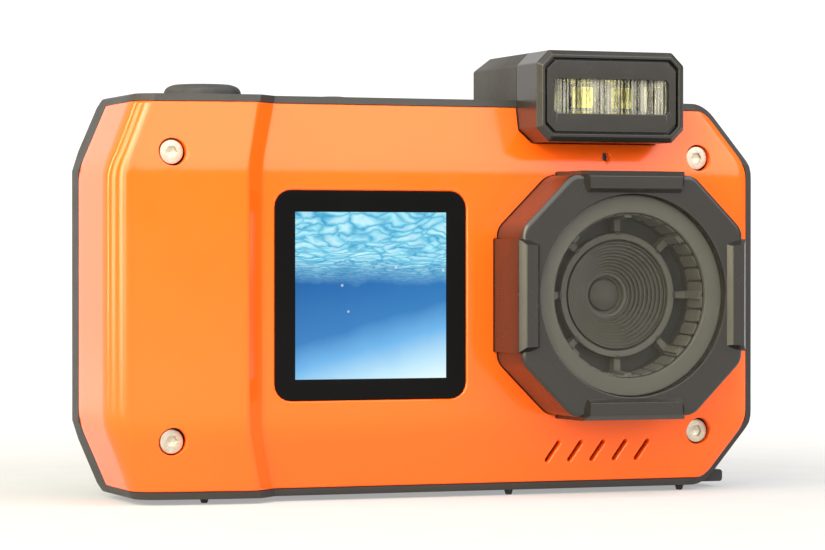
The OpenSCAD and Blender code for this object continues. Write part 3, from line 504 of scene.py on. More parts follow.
def grip_face(x):
    """Depth of the grip's gently domed face, left of the step."""
    d = -x - STEP_FOOT - GRIP_RISE
    return -GRIP_RISE + 0.1 * d + 0.004 * d * d


def face_depth(x, z):
    """Depth of the front face at a place away from its rounded ends."""
    b = bevel(z)
    foot = b - STEP_FOOT
    if x >= foot:
        return b
    return grip_face(x) + b if x < foot - GRIP_RISE else b + x - foot


def side_at(z, reach, cut, soft=2.0):
    """Half-width of the outline at height z: a straight side, then the corner's cut."""
    over = abs(z) - (HALF_HEIGHT - cut[1])
    if over < -soft:
        return reach
    eased = over if over > soft else (over + soft) ** 2 / (4 * soft)
    return reach - eased * cut[0] / cut[1]


def spaced(start, end, first, growth=1.5, most=0.8):
    """Places from start to end, close together near start."""
    places = [start]
    step = first
    while abs(end - places[-1]) > step * 1.5:
        places.append(places[-1] + math.copysign(step, end - start))
        step = min(step * growth, most)
    return places + [end]


COVER_WALL = 1.4
WALL_POINTS = 7
EDGE_ROUND = 0.28
ROLL_STEPS = spaced(0, ROLL_WIDTH, 0.05)[::-1]
ROUND_STEPS = 14
GRIP_STEPS = 16
PANEL_STEPS = 76


def edge_drop(gap):
    """How far a rounded edge falls away at a distance from its end."""
    t = max(0.0, EDGE_ROUND - gap)
    return EDGE_ROUND - math.sqrt(EDGE_ROUND ** 2 - min(t, EDGE_ROUND) ** 2)


def cover_row(z, d=0.0):
    """Points at height z of the front cover's skin, or of a skin d behind it, from left to right."""
    left = -side_at(z, -LEFT, LEFT_CUT) + d
    body_right = side_at(z, RIGHT, RIGHT_CUT)
    top = HALF_HEIGHT - LIP - d
    right = body_right - LIP - d - CORNER_ROUND + math.sqrt(
        max(0.0, CORNER_ROUND ** 2 - max(0.0, CORNER_ROUND - top + abs(z)) ** 2))
    b = bevel(z) + d
    wide, deep = LEFT_ROUND[0] - d, LEFT_ROUND[1] - d
    start = grip_face(left + wide) + b + deep
    drop = edge_drop(top - abs(z)) if d == 0 else 0.0
    back = RIM_BEND if d == 0 else 0.0
    row = [(left + back + drop, WRAP_BACK), (left + 0.3 * back + drop, WRAP_BACK - 0.3 * back)]
    row += [(left + drop, WRAP_BACK - back + (start - WRAP_BACK + back) * k / 4) for k in range(5)]
    for k in range(1, ROUND_STEPS + 1):
        a = math.radians(90 * k / ROUND_STEPS)
        row.append((left + wide * (1 - math.cos(a)) + drop * math.cos(a),
                    start - deep * math.sin(a) + drop * math.sin(a)))
    foot = bevel(z) - STEP_FOOT + 0.41 * d
    ridge = foot - GRIP_RISE
    near = ridge - 0.6
    row += [(x, grip_face(x) + b + drop)
            for x in (left + wide + (near - left - wide) * k / GRIP_STEPS for k in range(1, GRIP_STEPS))]
    curves = bezier(
        (near, grip_face(near) + b), (ridge, b - GRIP_RISE), (ridge + 0.45, b - GRIP_RISE + 0.45))
    curves += bezier((foot - 0.35, b - 0.35), (foot, b), (foot + 0.5, b))
    row += [(p[0], p[1] + drop) for p in curves]
    flat = body_right - ROLL_WIDTH - d
    row += [(foot + 0.5 + (flat - foot - 0.5) * k / PANEL_STEPS, b + drop) for k in range(1, PANEL_STEPS)]
    for q in ROLL_STEPS:
        x = right - q * (right - flat) / ROLL_WIDTH
        roll = ROLL_BEND * max(0.0, x - flat) ** 2
        row.append((x, b + roll + (max(drop, edge_drop(right - x)) if d == 0 else 0.0)))
    return [(x, y, z) for x, y in row]


def cover_grid(d=0.0):
    """Rows of the cover's skin from bottom to top, with the skirt that goes under the shell's lip."""
    top = HALF_HEIGHT - LIP
    heights = [(top - q) * (top - d) / top for q in spaced(0, top, 0.03, 1.45, 0.85)]
    rows = [cover_row(z, d) for z in [-z for z in heights[:-1]] + heights[::-1]]

    def skirt(row):
        return row[:WALL_POINTS] + [
            (x, WRAP_BACK if x < WRAP_EDGE else SKIRT_BACK, z) for x, y, z in row[WALL_POINTS:]]

    rows = [skirt(rows[0])] + rows + [skirt(rows[-1])]
    return [row + [(row[-1][0], SKIRT_BACK, row[-1][2])] for row in rows]


def cover_body():
    """The front cover before its openings are cut: two skins, joined round their edges."""
    bm = bmesh.new()
    skins = [[[bm.verts.new(p) for p in row] for row in cover_grid(d)] for d in (0.0, COVER_WALL)]
    for grid in skins:
        for a, b in zip(grid, grid[1:]):
            for i in range(len(a) - 1):
                bm.faces.new((a[i], a[i + 1], b[i + 1], b[i]))
    rims = [grid[0] + [row[-1] for row in grid[1:]] + grid[-1][-2::-1] + [row[0] for row in grid[-2:0:-1]]
            for grid in skins]
    for i in range(len(rims[0])):
        j = (i + 1) % len(rims[0])
        bm.faces.new((rims[0][i], rims[0][j], rims[1][j], rims[1][i]))
    bmesh.ops.remove_doubles(bm, verts=bm.verts, dist=0.004)
    bmesh.ops.dissolve_degenerate(bm, edges=bm.edges, dist=0.002)
    return bm


LENS_X = (panel_box("lens_window")[0].x + panel_box("lens_window")[1].x) / 2
BEZEL_HALF = 19.4
BEZEL_CUT = 8.7
TAB_HALF = 9.1
TAB_REACH = 20.0
TAB_ROOT = 10
# Each screw's x, z and the depth of its head.
SCREWS = [(-33.2, 22.5, -0.3), (-33.2, -22.5, -0.3), (57.8, 22.6, 1.4), (57.8, -22.6, 1.4)]
SCREW_R = 1.97
MICROPHONE_R = 0.7
MICROPHONE_Z = 22.58
FLASH_LOW, FLASH_HIGH = panel_box("flash_housing")
FLASH_X = (FLASH_LOW.x + FLASH_HIGH.x) / 2
FLASH_SIZE = (FLASH_HIGH.x - FLASH_LOW.x, 14.7)
FLASH_Z = FLASH_HIGH.z - FLASH_SIZE[1] / 2
FLASH_OPENING = (20.3, 5.6)
WIDE_RIM = 0.42
FINE_RIM = 0.15
SPEAKER_PITCH = 3.985
SPEAKER_SLOTS = [LENS_X - 9.9 + SPEAKER_PITCH * k for k in range(5)]
SPEAKER_FOOT_Z = -26.9
SLOT_R = 0.3
SLOT_LENGTH = 3.3
SLOT_SLANT = math.radians(31)


def tab_outline(angle):
    """One lens tab's outline, turned about the lens axis."""
    def shape(d=0.0):
        corners = [(TAB_ROOT, -TAB_HALF + d), (TAB_REACH - d, -TAB_HALF + d),
                   (TAB_REACH - d, TAB_HALF - d), (TAB_ROOT, TAB_HALF - d)]
        c, s = math.cos(angle), math.sin(angle)
        return rounded([(LENS_X + a * c - b * s, a * s + b * c) for a, b in corners], 0.3, 3)
    return shape


def slot_outline(x):
    """A slanted speaker slot's outline."""
    foot = Vector((x, SPEAKER_FOOT_Z))
    along = Vector((math.sin(SLOT_SLANT), math.cos(SLOT_SLANT)))
    side = Vector((along.y, -along.x))

    def shape(d=0.0):
        r = SLOT_R - d
        arc = [math.radians(30 * k) for k in range(7)]
        lower = [foot + side * r * math.cos(a) - along * r * math.sin(a) for a in arc]
        upper = [foot + along * SLOT_LENGTH - side * r * math.cos(a) + along * r * math.sin(a) for a in arc]
        return lower + upper
    return shape


def front_cover():
    """The orange cover, with rounded rims where the window, lens, flash and screws go in."""
    cover = make_object("front_cover_visual", cover_body(), MATERIALS["cover"])
    first = bmesh.new()
    window = [side + 2 * WINDOW_GAP for side in WINDOW_SIZE]
    solid(first, plate(*window, WINDOW_CORNER + WINDOW_GAP, 0, WINDOW_MIDDLE_Z),
          flare(WIDE_RIM) + [(0, 1.2), (1.5, 1.2), (1.5, 6)])
    bezel = octagon(2 * BEZEL_HALF, 2 * BEZEL_HALF, BEZEL_CUT, 3, LENS_X, 0, splits=9)
    rings = [upright(bezel(d - 0.1), y) for d, y in flare(FINE_RIM) + [(0, 0.55)]]
    hole = around(bezel(), 17, LENS_X, 0)
    loft(first, rings + [upright(hole, 0.55), upright(hole, 9)])
    solid(first, octagon(FLASH_SIZE[0] + 0.2, FLASH_SIZE[1] + 0.2, 2.15, 0.6, FLASH_X, FLASH_Z),
          flare(FINE_RIM) + [(0, 7)], lean=face_depth)
    solid(first, disc(MICROPHONE_R, LENS_X, MICROPHONE_Z, 24), flare(0.2) + [(0, 6)], lean=face_depth)
    for x, z, y in SCREWS:
        solid(first, disc(SCREW_R + 0.2, x, z, 48), flare(0.16) + [(0, 1.6)], lean=face_depth)
    for x in SPEAKER_SLOTS:
        solid(first, slot_outline(x), flare(WIDE_RIM) + [(0, 7)], lean=face_depth)
    second, third = bmesh.new(), bmesh.new()
    tab_profile = [(d - 0.1, y) for d, y in flare(FINE_RIM)] + [(-0.1, 0.55)]
    for cutter, turns in ((second, (0, 2)), (third, (1, 3))):
        for k in turns:
            solid(cutter, tab_outline(math.pi / 2 * k), tab_profile)
    carve(cover, first, second, third)
    return finished(cover, "front_cover")


# ---------------------------------------------------------------- front screen

def open_water(s, u, v):
    """Water that is deep blue below the surface, and pale towards the bottom right."""
    lean = s.math("MULTIPLY", s.math("SUBTRACT", 1.0, u), 0.26)
    depth = s.math("ADD", s.math("ADD", v, lean), s.math("MULTIPLY", s.noise(0.006, 3), 0.06))
    return s.ramp(depth, (0.02, srgb(226, 246, 252)), (0.16, srgb(186, 226, 246)),
                  (0.34, srgb(104, 176, 230)), (0.5, srgb(46, 122, 188)), (0.85, srgb(30, 100, 168)))


def sea_surface(s, u, v):
    """The surface from below: cells in perspective, fine at the horizon and large at the top."""
    far = s.math("DIVIDE", 0.2, s.math("MAXIMUM", s.math("SUBTRACT", v, 0.5), 0.02))
    across = s.math("MULTIPLY", s.math("SUBTRACT", u, 0.35), s.math("ADD", far, 0.5))
    plane = s.add("ShaderNodeCombineXYZ", {0: across, 1: far, 2: 0.0}).outputs[0]
    bend = s.add("ShaderNodeTexNoise", {"Vector": plane, "Scale": 3.2, "Detail": 3.0})
    swayed = s.add("ShaderNodeVectorMath", {0: bend.outputs["Color"], 1: (0.55, 0.3, 0)},
                   operation="MULTIPLY").outputs[0]
    moved = s.add("ShaderNodeVectorMath", {0: plane, 1: swayed}, operation="ADD").outputs[0]
    wide = s.add("ShaderNodeMapping", {"Vector": moved, "Scale": (2.6, 6.5, 1),
                                       "Rotation": (0, 0, 0.12)}).outputs[0]
    edge = s.add("ShaderNodeTexVoronoi", {"Vector": wide, "Scale": 2.3}, feature="DISTANCE_TO_EDGE")
    ripples = s.ramp(edge.outputs["Distance"], (0.0, srgb(40, 128, 172)), (0.05, srgb(74, 176, 214)),
                     (0.14, srgb(140, 222, 242)), (0.3, srgb(222, 250, 254)))
    cloud = s.add("ShaderNodeTexNoise", {"Vector": wide, "Scale": 2.2, "Detail": 5.0}).outputs["Fac"]
    tint = s.ramp(cloud, (0.35, srgb(72, 166, 212)), (0.65, srgb(168, 234, 248)))
    rippled = s.mix(0.5, ripples, tint)
    glints = s.add("ShaderNodeTexNoise", {"Vector": wide, "Scale": 9.0, "Detail": 6.0}).outputs["Fac"]
    sparkle = s.ramp(glints, (0.62, (0, 0, 0, 1)), (0.72, (1, 1, 1, 1)))
    return s.mix(s.math("MULTIPLY", sparkle, 0.6), rippled, srgb(236, 250, 250))


def underwater_picture(name, low, high):
    """A made-up view below the sea's surface, on a screen between two corners."""
    s = Shader(name, Coat_Weight=0.2, Coat_Roughness=0.04, Specular_IOR_Level=0.2, Emission_Strength=0.95)
    size = high - low
    place = s.add("ShaderNodeVectorMath", {0: s.coords, 1: low}, operation="SUBTRACT").outputs[0]
    share = s.add("ShaderNodeVectorMath", {0: place, 1: (1 / size.x, 1, 1 / size.z)},
                  operation="MULTIPLY").outputs[0]
    parts = s.add("ShaderNodeSeparateXYZ", {0: share})
    u, v = parts.outputs["X"], parts.outputs["Z"]
    water = open_water(s, u, v)
    surface = sea_surface(s, u, v)
    border = s.math("ADD", v, s.math("MULTIPLY", s.math("SUBTRACT", s.noise(0.004, 3), 0.5), 0.1))
    share_up = s.ramp(border, (0.56, (0, 0, 0, 1)), (0.72, (1, 1, 1, 1)))
    picture = s.mix(share_up, water, surface)
    # a few small bubbles
    cells = s.add("ShaderNodeTexVoronoi", {"Vector": share, "Scale": 7.0}).outputs["Distance"]
    dots = s.ramp(cells, (0.05, (1, 1, 1, 1)), (0.075, (0, 0, 0, 1)))
    picture = s.mix(s.math("MULTIPLY", dots, 0.5), picture, srgb(235, 248, 252))
    s.tree.links.new(picture, s.surface.inputs["Emission Color"])
    s.colour(s.mix(0.94, picture, srgb(0, 0, 0)))
    s.roughness(s.spread(s.noise(0.004, 3), 0.1, 0.16))
    return s.material


ACTIVE = (25.5, 26.5)


def front_screen():
    """A black glass frame round the front screen, and the screen's own module."""
    y = WINDOW_DEPTH
    opening = plate(ACTIVE[0] + 0.1, ACTIVE[1] + 0.1, 0.05, 0, WINDOW_MIDDLE_Z)
    outer = plate(*WINDOW_SIZE, WINDOW_CORNER, 0, WINDOW_MIDDLE_Z)
    bm = bmesh.new()
    rings = [upright(outer(d), depth) for d, depth in soft_edges(y, y + 1, 0.12)]
    rings += [upright(opening(), y + 1), upright(opening(), y)]
    loft(bm, rings, loop=True)
    piece("front_window_frame", bm, "black_glass", "front_window")
    low = ORIGIN + Vector((-ACTIVE[0] / 2, 0, WINDOW_MIDDLE_Z - ACTIVE[1] / 2)) * MM
    high = low + Vector((ACTIVE[0], 0, ACTIVE[1])) * MM
    bm = bmesh.new()
    solid(bm, plate(*ACTIVE, 0.03, 0, WINDOW_MIDDLE_Z, steps=1), [(0, y + 0.03), (0, y + 1.1)])
    solid(bm, plate(29, 31, 0.3), soft_edges(y + 1.05, 3.2, 0.1), material=1)
    solid(bm, plate(10, 6, 0.3, 0, -19), [(0, 3.1), (0, 3.4)], material=2)
    piece("front_display_module", bm, "display", "front_display",
          underwater_picture("screen_picture", low, high), MATERIALS["display"], MATERIALS["latch"])


# ---------------------------------------------------------------- lens

LENS_FRONT = -10.6
TAB_FRONT = panel_box("lens_bezel")[0].y
SEAT_R = 16.3
GUTTER_R = 13.3
HUB_R = 9.05
HUB_WALL = 1.03
HUB_FRONT = -4.1
DIAL_FRONT, DIAL_BACK = (corner.y for corner in panel_box("dial_ring"))
DIAL_FLOOR = -2.0
DIAL_FLOOR_T = 0.9
BLOCKS = 36
BLOCK_HALF_TURN = 0.0755
SPOKES = 8
SPOKE_HALF_TURN = 0.05
FUNNEL_FRONT, FUNNEL_BACK = (corner.y for corner in panel_box("stepped_baffle"))
FUNNEL_R = 8.5
FUNNEL_STEPS = 10
FUNNEL_GROOVE = 0.9
PUPIL_R = 3.2
PUPIL_Y = 0.5
FINE = 128
PANE_BACK = panel_box("lens_window")[1].y


def turn_about_lens(bm, first, angle):
    """Turns the vertices made after the first ones about the lens axis."""
    bm.verts.ensure_lookup_table()
    axis = Matrix.Translation((LENS_X, 0, 0))
    turn = axis @ Matrix.Rotation(angle, 4, "Y") @ Matrix.Translation((-LENS_X, 0, 0))
    bmesh.ops.transform(bm, matrix=turn, verts=bm.verts[first:])


def lens_tab(bm, angle):
    """One raised tab: a flat top between two slopes, with slanted ends."""
    first = len(bm.verts)
    # each point is (radius, depth, half of the width)
    profile = [(16.5, LENS_FRONT + 0.3, 8.2), (16.5, LENS_FRONT - 0.02, 8.2), (17.1, TAB_FRONT + 0.08, 8.05),
               (17.2, TAB_FRONT, 8.05), (19.05, TAB_FRONT, 8.15), (19.2, TAB_FRONT + 0.08, 8.2),
               (19.96, TAB_FRONT + 1.2, 9.0), (TAB_REACH, TAB_FRONT + 1.35, TAB_HALF),
               (TAB_REACH, 0.5, TAB_HALF), (18.5, 0.5, TAB_HALF), (18.5, LENS_FRONT + 0.3, TAB_HALF)]
    sides = [[(LENS_X + r, y, s * (half + grow)) for r, y, half in profile]
             for s, grow in ((-1, 0), (-1, -0.12), (1, -0.12), (1, 0))]
    loft(bm, sides)
    turn_about_lens(bm, first, angle)


def lens_bezel():
    """The octagonal housing round the lens, with its four tabs."""
    outer = octagon(2 * BEZEL_HALF, 2 * BEZEL_HALF, BEZEL_CUT, 3, LENS_X, 0, splits=16)
    rings = [upright(outer(0), y) for y in (0.5, -3, -7, LENS_FRONT + 0.62)]
    rings += [upright(outer(d), LENS_FRONT + y)
              for d, y in ((0.06, 0.42), (0.36, 0.12), (0.55, 0.02), (0.8, 0))]
    rings += [upright(around(outer(), r, LENS_X, 0), y) for r, y in (
        (SEAT_R + 0.3, LENS_FRONT), (SEAT_R + 0.1, LENS_FRONT + 0.06), (SEAT_R, LENS_FRONT + 0.24),
        (SEAT_R, -7.0), (GUTTER_R + 0.1, -7.0), (GUTTER_R + 0.1, 5.5), (16.9, 5.5), (16.9, 0.5))]
    bm = bmesh.new()
    loft(bm, rings, loop=True)
    for k in range(4):
        lens_tab(bm, math.pi / 2 * k)
    piece("lens_housing", bm, "housing", "lens_bezel", angle=28)


def lens_pane():
    """The flat pane over the lens, and the wide ring that it rests on."""
    bm = bmesh.new()
    solid(bm, disc(SEAT_R - 0.05, LENS_X, 0, FINE), soft_edges(PANE_BACK - 1, PANE_BACK, 0.15))
    piece("lens_pane", bm, "lens_glass", "lens_window")
    bm = bmesh.new()
    turned(bm, LENS_X, 0, [
        (SEAT_R - 0.12, PANE_BACK + 0.8), (SEAT_R - 0.12, PANE_BACK + 0.16),
        (SEAT_R - 0.24, PANE_BACK + 0.04), (GUTTER_R + 0.16, PANE_BACK + 0.04),
        (GUTTER_R + 0.02, PANE_BACK + 0.18), (GUTTER_R + 0.02, PANE_BACK + 0.8)], count=FINE)
    piece("lens_rest_ring", bm, "lens_inner", "lens_ring")


def sector(low, high, middle, half, steps=4):
    """The outline of a block between two radii about the lens axis, with its inner corners eased."""
    turns = [middle + half * (2 * k / steps - 1) for k in range(steps + 1)]
    inner = [(low + (0.05 if k in (0, steps) else 0), a) for k, a in enumerate(turns)]
    outer = [(high, a) for a in turns[::-1]]
    return [(LENS_X + r * math.cos(a), r * math.sin(a)) for r, a in inner + outer]


def spoke_block(bm, low, high, front, middle, material=0):
    """A block on a spoke's line between two radii, from depth front to the dial's floor."""
    half = SPOKE_HALF_TURN
    rings = [upright(sector(low + 0.08, high - 0.08, middle, half * 0.94, 2), front),
             upright(sector(low, high, middle, half, 2), front + 0.1),
             upright(sector(low, high, middle, half, 2), DIAL_FLOOR + 0.1)]
    loft(bm, rings, material=material)


def dial_block(bm, middle):
    """One block of the dial's wall, leaning inwards, with a small notch at each corner."""
    half, foot = BLOCK_HALF_TURN, HUB_FRONT + 0.3
    # each point is (depth, share of the width)
    shape = [(DIAL_FRONT, 0.84), (DIAL_FRONT + 0.05, 0.86), (DIAL_FRONT + 0.4, 0.86), (DIAL_FRONT + 0.5, 1),
             (foot - 0.65, 1), (foot - 0.55, 0.86), (foot - 0.1, 0.86), (foot, 0.8)]
    lean = 0.35 / (DIAL_FLOOR - DIAL_FRONT)
    rings = []
    for y, share in shape:
        low = GUTTER_R - 0.33 - lean * (y - DIAL_FRONT) + (0.05 if y == DIAL_FRONT else 0)
        rings.append(upright(sector(low, GUTTER_R - 0.08, middle, half * share), y))
    root = sector(GUTTER_R - 0.3, GUTTER_R - 0.08, middle, half * 0.8)
    loft(bm, rings + [upright(root, y) for y in (foot + 0.02, DIAL_FLOOR + 0.1)])


def dial_ring():
    """The ring of blocks and spokes between the pane's ring and the hub. Its gutter wall and floor, and the
    spokes' caps across the hub, take the dark second material as painted shade.
    """
    rim, wall = GUTTER_R - 0.02, GUTTER_R - 0.12
    step = rim - 0.65
    hub = HUB_R + HUB_WALL
    under = DIAL_FLOOR + DIAL_FLOOR_T
    bm = bmesh.new()
    # The gutter's wall and floor take the dark second material: painted shade in the deep gutter.
    turned(bm, LENS_X, 0, [
        (rim, DIAL_FRONT + 0.5), (wall, DIAL_FRONT + 0.5), (wall, HUB_FRONT + 0.3),
        (rim - 0.5, HUB_FRONT + 0.4), (step, DIAL_FLOOR), (hub, DIAL_FLOOR), (hub, under), (step, under),
        (step, DIAL_BACK), (rim, DIAL_BACK)], count=FINE, material=1)
    turned(bm, LENS_X, 0, [
        (HUB_R, under), (HUB_R, HUB_FRONT + 0.1), (HUB_R + 0.08, HUB_FRONT),
        (hub - 0.08, HUB_FRONT), (hub, HUB_FRONT + 0.1), (hub, under)], count=FINE)
    for k in range(BLOCKS):
        dial_block(bm, math.radians(360 / BLOCKS * (k + 0.5)))
    for k in range(SPOKES):
        middle = 2 * math.pi / SPOKES * k
        spoke_block(bm, hub + 0.25, rim - 1.0, HUB_FRONT + 0.15, middle)
        ribs = [(12.55, DIAL_FRONT + 0.2), (12.5, DIAL_FRONT + 0.3), (12.2, HUB_FRONT + 0.2),
                (12.2, DIAL_FLOOR + 0.1)]
        loft(bm, [upright(sector(r, rim - 0.1, middle, SPOKE_HALF_TURN, 2), y) for r, y in ribs])
        # Dark caps where the spokes cross the hub ring: painted shade.
        spoke_block(bm, hub - 0.35, hub + 0.3, HUB_FRONT - 0.02, middle, material=1)
    piece("lens_dial_ring", bm, "lens_inner", "dial_ring", MATERIALS["lens_inner"],
          MATERIALS["lens_black"], angle=28)


def paint_bands(faces, bands, count):
    """Gives some bands of a turned solid the piece's second material."""
    for band in bands:
        for face in faces[band * count:(band + 1) * count]:
            face.material_index = 1


def stepped_funnel():
    """The steps that narrow down to the lens, inside a groove; each step's upright face and the groove are
    painted dark as painted shade.
    """
    rise, run = (PUPIL_Y - FUNNEL_FRONT) / FUNNEL_STEPS, (FUNNEL_R - PUPIL_R) / FUNNEL_STEPS
    groove = FUNNEL_FRONT + FUNNEL_GROOVE
    profile = [(HUB_R - 0.06, FUNNEL_BACK), (HUB_R - 0.06, groove), (FUNNEL_R + 0.16, groove),
               (FUNNEL_R + 0.15, FUNNEL_FRONT + 0.05), (FUNNEL_R + 0.11, FUNNEL_FRONT),
               (FUNNEL_R + 0.03, FUNNEL_FRONT)]
    shaded_risers = []
    for k in range(FUNNEL_STEPS):
        r, y = FUNNEL_R - run * k, FUNNEL_FRONT + rise * k
        deep = y + rise + (0.22 if k < FUNNEL_STEPS - 1 else 0)
        shaded_risers.append(len(profile))
        profile += [(r, y + 0.04), (r - 0.02, deep - 0.05), (r - 0.05, deep), (r - run + 0.05, y + rise)]
    profile += [(PUPIL_R, PUPIL_Y + 0.05), (PUPIL_R, FUNNEL_BACK)]
    bm = bmesh.new()
    faces = turned(bm, LENS_X, 0, profile, count=FINE)
    # The groove's three bands and each step's upright face take the dark second material: painted shade.
    groove_shade_bands = [0, 1, 2]
    paint_bands(faces, groove_shade_bands + shaded_risers, FINE)
    piece("lens_step_funnel", bm, "lens_inner", "stepped_baffle", MATERIALS["lens_inner"],
          MATERIALS["lens_black"], angle=28)


def inner_barrel():
    """The barrel behind the funnel, with a pale lip round the first lens."""
    front, back = (corner.y for corner in panel_box("lens_barrel"))
    shoulder = 3.2
    lip = 3
    bm = bmesh.new()
    faces = turned(bm, LENS_X, 0, [
        (2.6, back - 0.1), (2.6, front + 0.05), (2.65, front), (2.86, front), (3.24, front),
        (12.85, front), (12.9, front + 0.05), (12.9, shoulder - 0.05), (12.85, shoulder), (6.4, shoulder),
        (6.4, back - 0.05), (6.35, back), (2.7, back)], count=FINE)
    paint_bands(faces, [lip], FINE)
    piece("lens_barrel_turned", bm, "lens_black", "lens_barrel", MATERIALS["lens_black"],
          MATERIALS["lens_inner"], angle=28)


def front_optic():
    """The domed first lens element."""
    front, back = (corner.y for corner in panel_box("front_lens"))
    dome, rim = 4.4, 2.53
    profile = [(r, front + dome - math.sqrt(dome ** 2 - r * r))
               for r in (TIP, 0.5, 1.0, 1.5, 1.9, 2.2, 2.4, rim)]
    bm = bmesh.new()
    turned(bm, LENS_X, 0, profile + [(rim, back - 0.05), (TIP, back)], loop=False, count=64)
    piece("front_optic_dome", bm, "optic", "front_lens", angle=60)


# ---------------------------------------------------------------- flash, screws, buttons

def flash_window():
    """The flash's clear pane with its upright ribs."""
    width, height = FLASH_OPENING
    ribs = 34
    front = FLASH_LOW.y
    bm = bmesh.new()
    solid(bm, plate(width + 1.1, height + 1.1, 0.3, FLASH_X, FLASH_Z),
          soft_edges(front + 1.24, front + 2.2, 0.08))
    pitch = width / ribs
    end = height / 2 - 0.04
    for k in range(ribs):
        x = FLASH_X - width / 2 + pitch * (k + 0.5)
        half = pitch * 0.44
        arc = [(x - half * math.cos(a), front + 1.26 - 0.5 * math.sin(a))
               for a in (math.radians(30 * j) for j in range(7))]
        loft(bm, [[(px, py, FLASH_Z + z) for px, py in arc] for z in (-end, end)])
    piece("flash_ribbed_pane", bm, "clear_plastic", "flash_lens", angle=40)


def flash_lamps():
    """The reflector behind the flash's pane, and its two light sources."""
    front = FLASH_LOW.y
    y = front + 2.25
    mouth = plate(FLASH_OPENING[0], 6, 0.2, FLASH_X, FLASH_Z, splits=3)
    base = plate(15, 4.2, 0.5, FLASH_X, FLASH_Z, splits=3)
    outer = plate(21.5, 7.2, 0.3, FLASH_X, FLASH_Z, splits=3)
    bm = bmesh.new()
    loft(bm, [upright(outer(), y + 2.6), upright(outer(), y), upright(mouth(), y),
              upright(mouth(0.6), y + 0.7), upright(base(), y + 1.9), upright(base(0.2), y + 2)])
    piece("flash_mirror", bm, "reflector", "flash_reflector", angle=28)
    bm = bmesh.new()
    for side in (-3.45, 3.45):
        solid(bm, plate(3.4, 3.4, 0.3, FLASH_X + side, FLASH_Z),
              soft_edges(front + 3.95, front + 4.3, 0.06), material=1)
        turned(bm, FLASH_X + side, FLASH_Z, [
            (1.45, front + 4.0), (1.42, front + 3.82), (1.2, front + 3.72), (TIP, front + 3.62)],
            loop=False, count=32, material=1)
    piece("flash_emitters", bm, "led", "flash_leds", MATERIALS["frame_plastic"], MATERIALS["led"])


def flash_trim():
    """The flat frame round the flash's window, with a narrow gap round it."""
    front, back = (corner.y for corner in panel_box("flash_trim"))
    margin = 3.2
    outer = octagon(FLASH_SIZE[0] - margin, FLASH_SIZE[1] - margin, 1.5, 0.3, FLASH_X, FLASH_Z)
    window = octagon(*FLASH_OPENING, 0.5, 0.2, FLASH_X, FLASH_Z)
    rings = [upright(outer(d), y) for d, y in soft_edges(front, back, 0.15)[::-1]]
    rings += [upright(window(-0.12), front), upright(window(-0.03), front + 0.04),
              upright(window(), front + 0.14), upright(window(), back)]
    bm = bmesh.new()
    loft(bm, rings, loop=True)
    piece("flash_window_frame", bm, "housing", "flash_trim", angle=28)


def hexagon(radius, x, z, count=48):
    """A hexagon's outline, with its corners at a radius."""
    outline = []
    for k in range(count):
        a = 2 * math.pi * k / count
        reach = radius * 0.866 / math.cos(a % (math.pi / 3) - math.pi / 6)
        outline.append((x + reach * math.cos(a), z + reach * math.sin(a)))
    return outline


def cover_screws():
    """Four screws with bevelled heads and hexagonal sockets."""
    bm = bmesh.new()
    for x, z, y in SCREWS:
        head = [upright(disc(r, x, z, 48)(), y + d) for r, d in (
            (0.95, 12.9), (0.96, 1.28), (SCREW_R, 1.26), (SCREW_R, 0.2), (SCREW_R - 0.04, 0.1),
            (SCREW_R - 0.14, 0.01), (SCREW_R - 0.2, 0))]
        socket = [upright(hexagon(r, x, z), y + d) for r, d in ((0.98, 0), (0.93, 0.06), (0.91, 0.55))]
        loft(bm, head + socket + [upright(disc(0.1, x, z, 48)(), y + 0.7)])
    piece("cover_screw_set", bm, "screw_steel", "cover_screws", angle=28)


BUTTON_Y = 12


def top_button(name, node, body, x, radius, rise, stem):
    """A domed push button on the top, with its stem."""
    skirt, foot = -1.5, -5.0
    profile = [(TIP, rise), (radius * 0.45, rise - 0.03), (radius - 1.5, rise - 0.12),
               (radius - 0.95, rise - 0.3), (radius - 0.5, rise - 0.52), (radius - 0.18, rise - 0.86),
               (radius, rise - 1.3), (radius, skirt), (radius - 0.1, skirt - 0.1), (stem, skirt - 0.1),
               (stem, foot), (TIP, foot - 0.1)]
    rings = [[(x + p[0], BUTTON_Y + p[1], HALF_HEIGHT + z) for p in disc(r, 0, 0, 96)()] for r, z in profile]
    bm = bmesh.new()
    loft(bm, rings)
    piece(name, bm, "key", node, body=body, angle=40)


def top_buttons():
    """The round shutter button, which stands proud, and the flush power button."""
    top_button("shutter_dome", "shutter_button", "shutter", x=-24.45, radius=6.15, rise=2.05, stem=1.6)
    top_button("power_dome", "power_button", "power", x=-2.5, radius=3.8, rise=0.5, stem=1.2)


# ---------------------------------------------------------------- stage

CAMERA_PLACE = (-174.27, -477.65, 5.75)
CAMERA_TILT = math.radians(90 - 0.274)
CAMERA_TURN = math.radians(-20.774)


def camera():
    """A long lens, to the left of the body and level with its middle."""
    data = bpy.data.cameras.new("view")
    data.lens = 139.46
    data.sensor_width = 36
    data.clip_start = 0.01
    data.clip_end = 20
    obj = bpy.data.objects.new("view", data)
    obj.location = ORIGIN + Vector(CAMERA_PLACE) * MM
    obj.rotation_euler = (CAMERA_TILT, 0, CAMERA_TURN)
    bpy.context.scene.collection.objects.link(obj)
    bpy.context.scene.camera = obj


def softbox(name, place, target, size, power, colour=(1, 1, 1)):
    """A rectangular light that faces a target."""
    data = bpy.data.lights.new(name, "AREA")
    data.shape = "RECTANGLE"
    data.size, data.size_y = size
    data.energy = power
    data.color = colour
    obj = bpy.data.objects.new(name, data)
    obj.location = place
    obj.rotation_euler = (Vector(target) - Vector(place)).to_track_quat("-Z", "Y").to_euler()
    bpy.context.scene.collection.objects.link(obj)


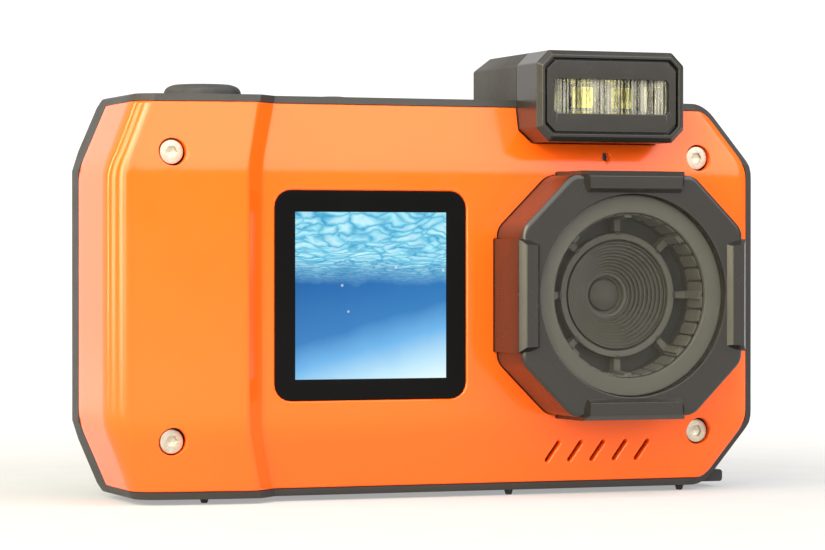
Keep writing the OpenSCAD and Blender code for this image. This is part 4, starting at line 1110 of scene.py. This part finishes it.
def backdrop_paper():
    """Pale paper that glows a little more the further it is from the object."""
    s = Shader("backdrop_paper", Specular_IOR_Level=0.0, Emission_Color=(1, 1, 1, 1))
    far = s.add("ShaderNodeVectorMath", {0: s.coords}, operation="LENGTH").outputs["Value"]
    s.colour(s.ramp(s.noise(0.01, 3), (0.3, srgb(150, 150, 150)), (0.7, srgb(154, 154, 154))))
    s.tree.links.new(s.spread(far, 0.36, 0.9, 0.1, 0.45), s.surface.inputs["Emission Strength"])
    s.roughness(s.spread(s.noise(0.003, 3), 0.8, 0.9))
    return s.material


LIT_POINT = (0, 0, 0.035)
STRIP_HEIGHT = 0.9
STRIP_COLOUR = (1, 0.9, 0.62)
# Tall warm strips whose reflections lie along the rounded grip edge: name, place, width and power.
STRIP_LIGHTS = (
    ("left_back_light", (-0.75, 0.28, 0.3), 0.06, 2.8),
    ("left_light", (-0.8, -0.1, 0.3), 0.24, 6.5),
    ("left_front_light", (-0.6, -0.53, 0.3), 0.22, 8),
    ("front_left_light", (-0.45, -0.7, 0.3), 0.16, 3),
)


def backdrop():
    """A pale floor that curves up into a pale wall."""
    depth, radius, top, half_width = 2.2, 0.9, 2.6, 3
    line = [(-depth, 0.0), (depth - radius, 0.0)]
    line += [(depth - radius + radius * math.sin(a), radius * (1 - math.cos(a)))
             for a in (math.radians(10 * k) for k in range(1, 10))]
    line.append((depth, top))
    bm = bmesh.new()
    rows = [[bm.verts.new((x, y, z)) for x in (-half_width, half_width)] for y, z in line]
    for a, b in zip(rows, rows[1:]):
        bm.faces.new((a[0], a[1], b[1], b[0]))
    mesh = bpy.data.meshes.new("backdrop")
    bm.to_mesh(mesh)
    bm.free()
    mesh.shade_smooth()
    mesh.materials.append(backdrop_paper())
    floor = bpy.data.objects.new("backdrop", mesh)
    bpy.context.scene.collection.objects.link(floor)


def stage():
    """The backdrop, one broad soft light above, and the strips at the left."""
    backdrop()
    world = bpy.data.worlds.new("soft_room")
    world.use_nodes = True
    world.node_tree.nodes["Background"].inputs["Color"].default_value = (1, 1, 1, 1)
    world.node_tree.nodes["Background"].inputs["Strength"].default_value = 0.26
    bpy.context.scene.world = world
    bpy.context.scene.view_settings.view_transform = "Standard"
    softbox("top_light", (0.15, -0.6, 0.66), LIT_POINT, size=(1.8, 1.3), power=21)
    for name, place, width, power in STRIP_LIGHTS:
        softbox(name, place, LIT_POINT, (width, STRIP_HEIGHT), power, STRIP_COLOUR)


dress_cad_nodes()
front_cover()
front_screen()
lens_bezel()
lens_pane()
dial_ring()
stepped_funnel()
inner_barrel()
front_optic()
flash_window()
flash_lamps()
flash_trim()
cover_screws()
top_buttons()
camera()
stage()
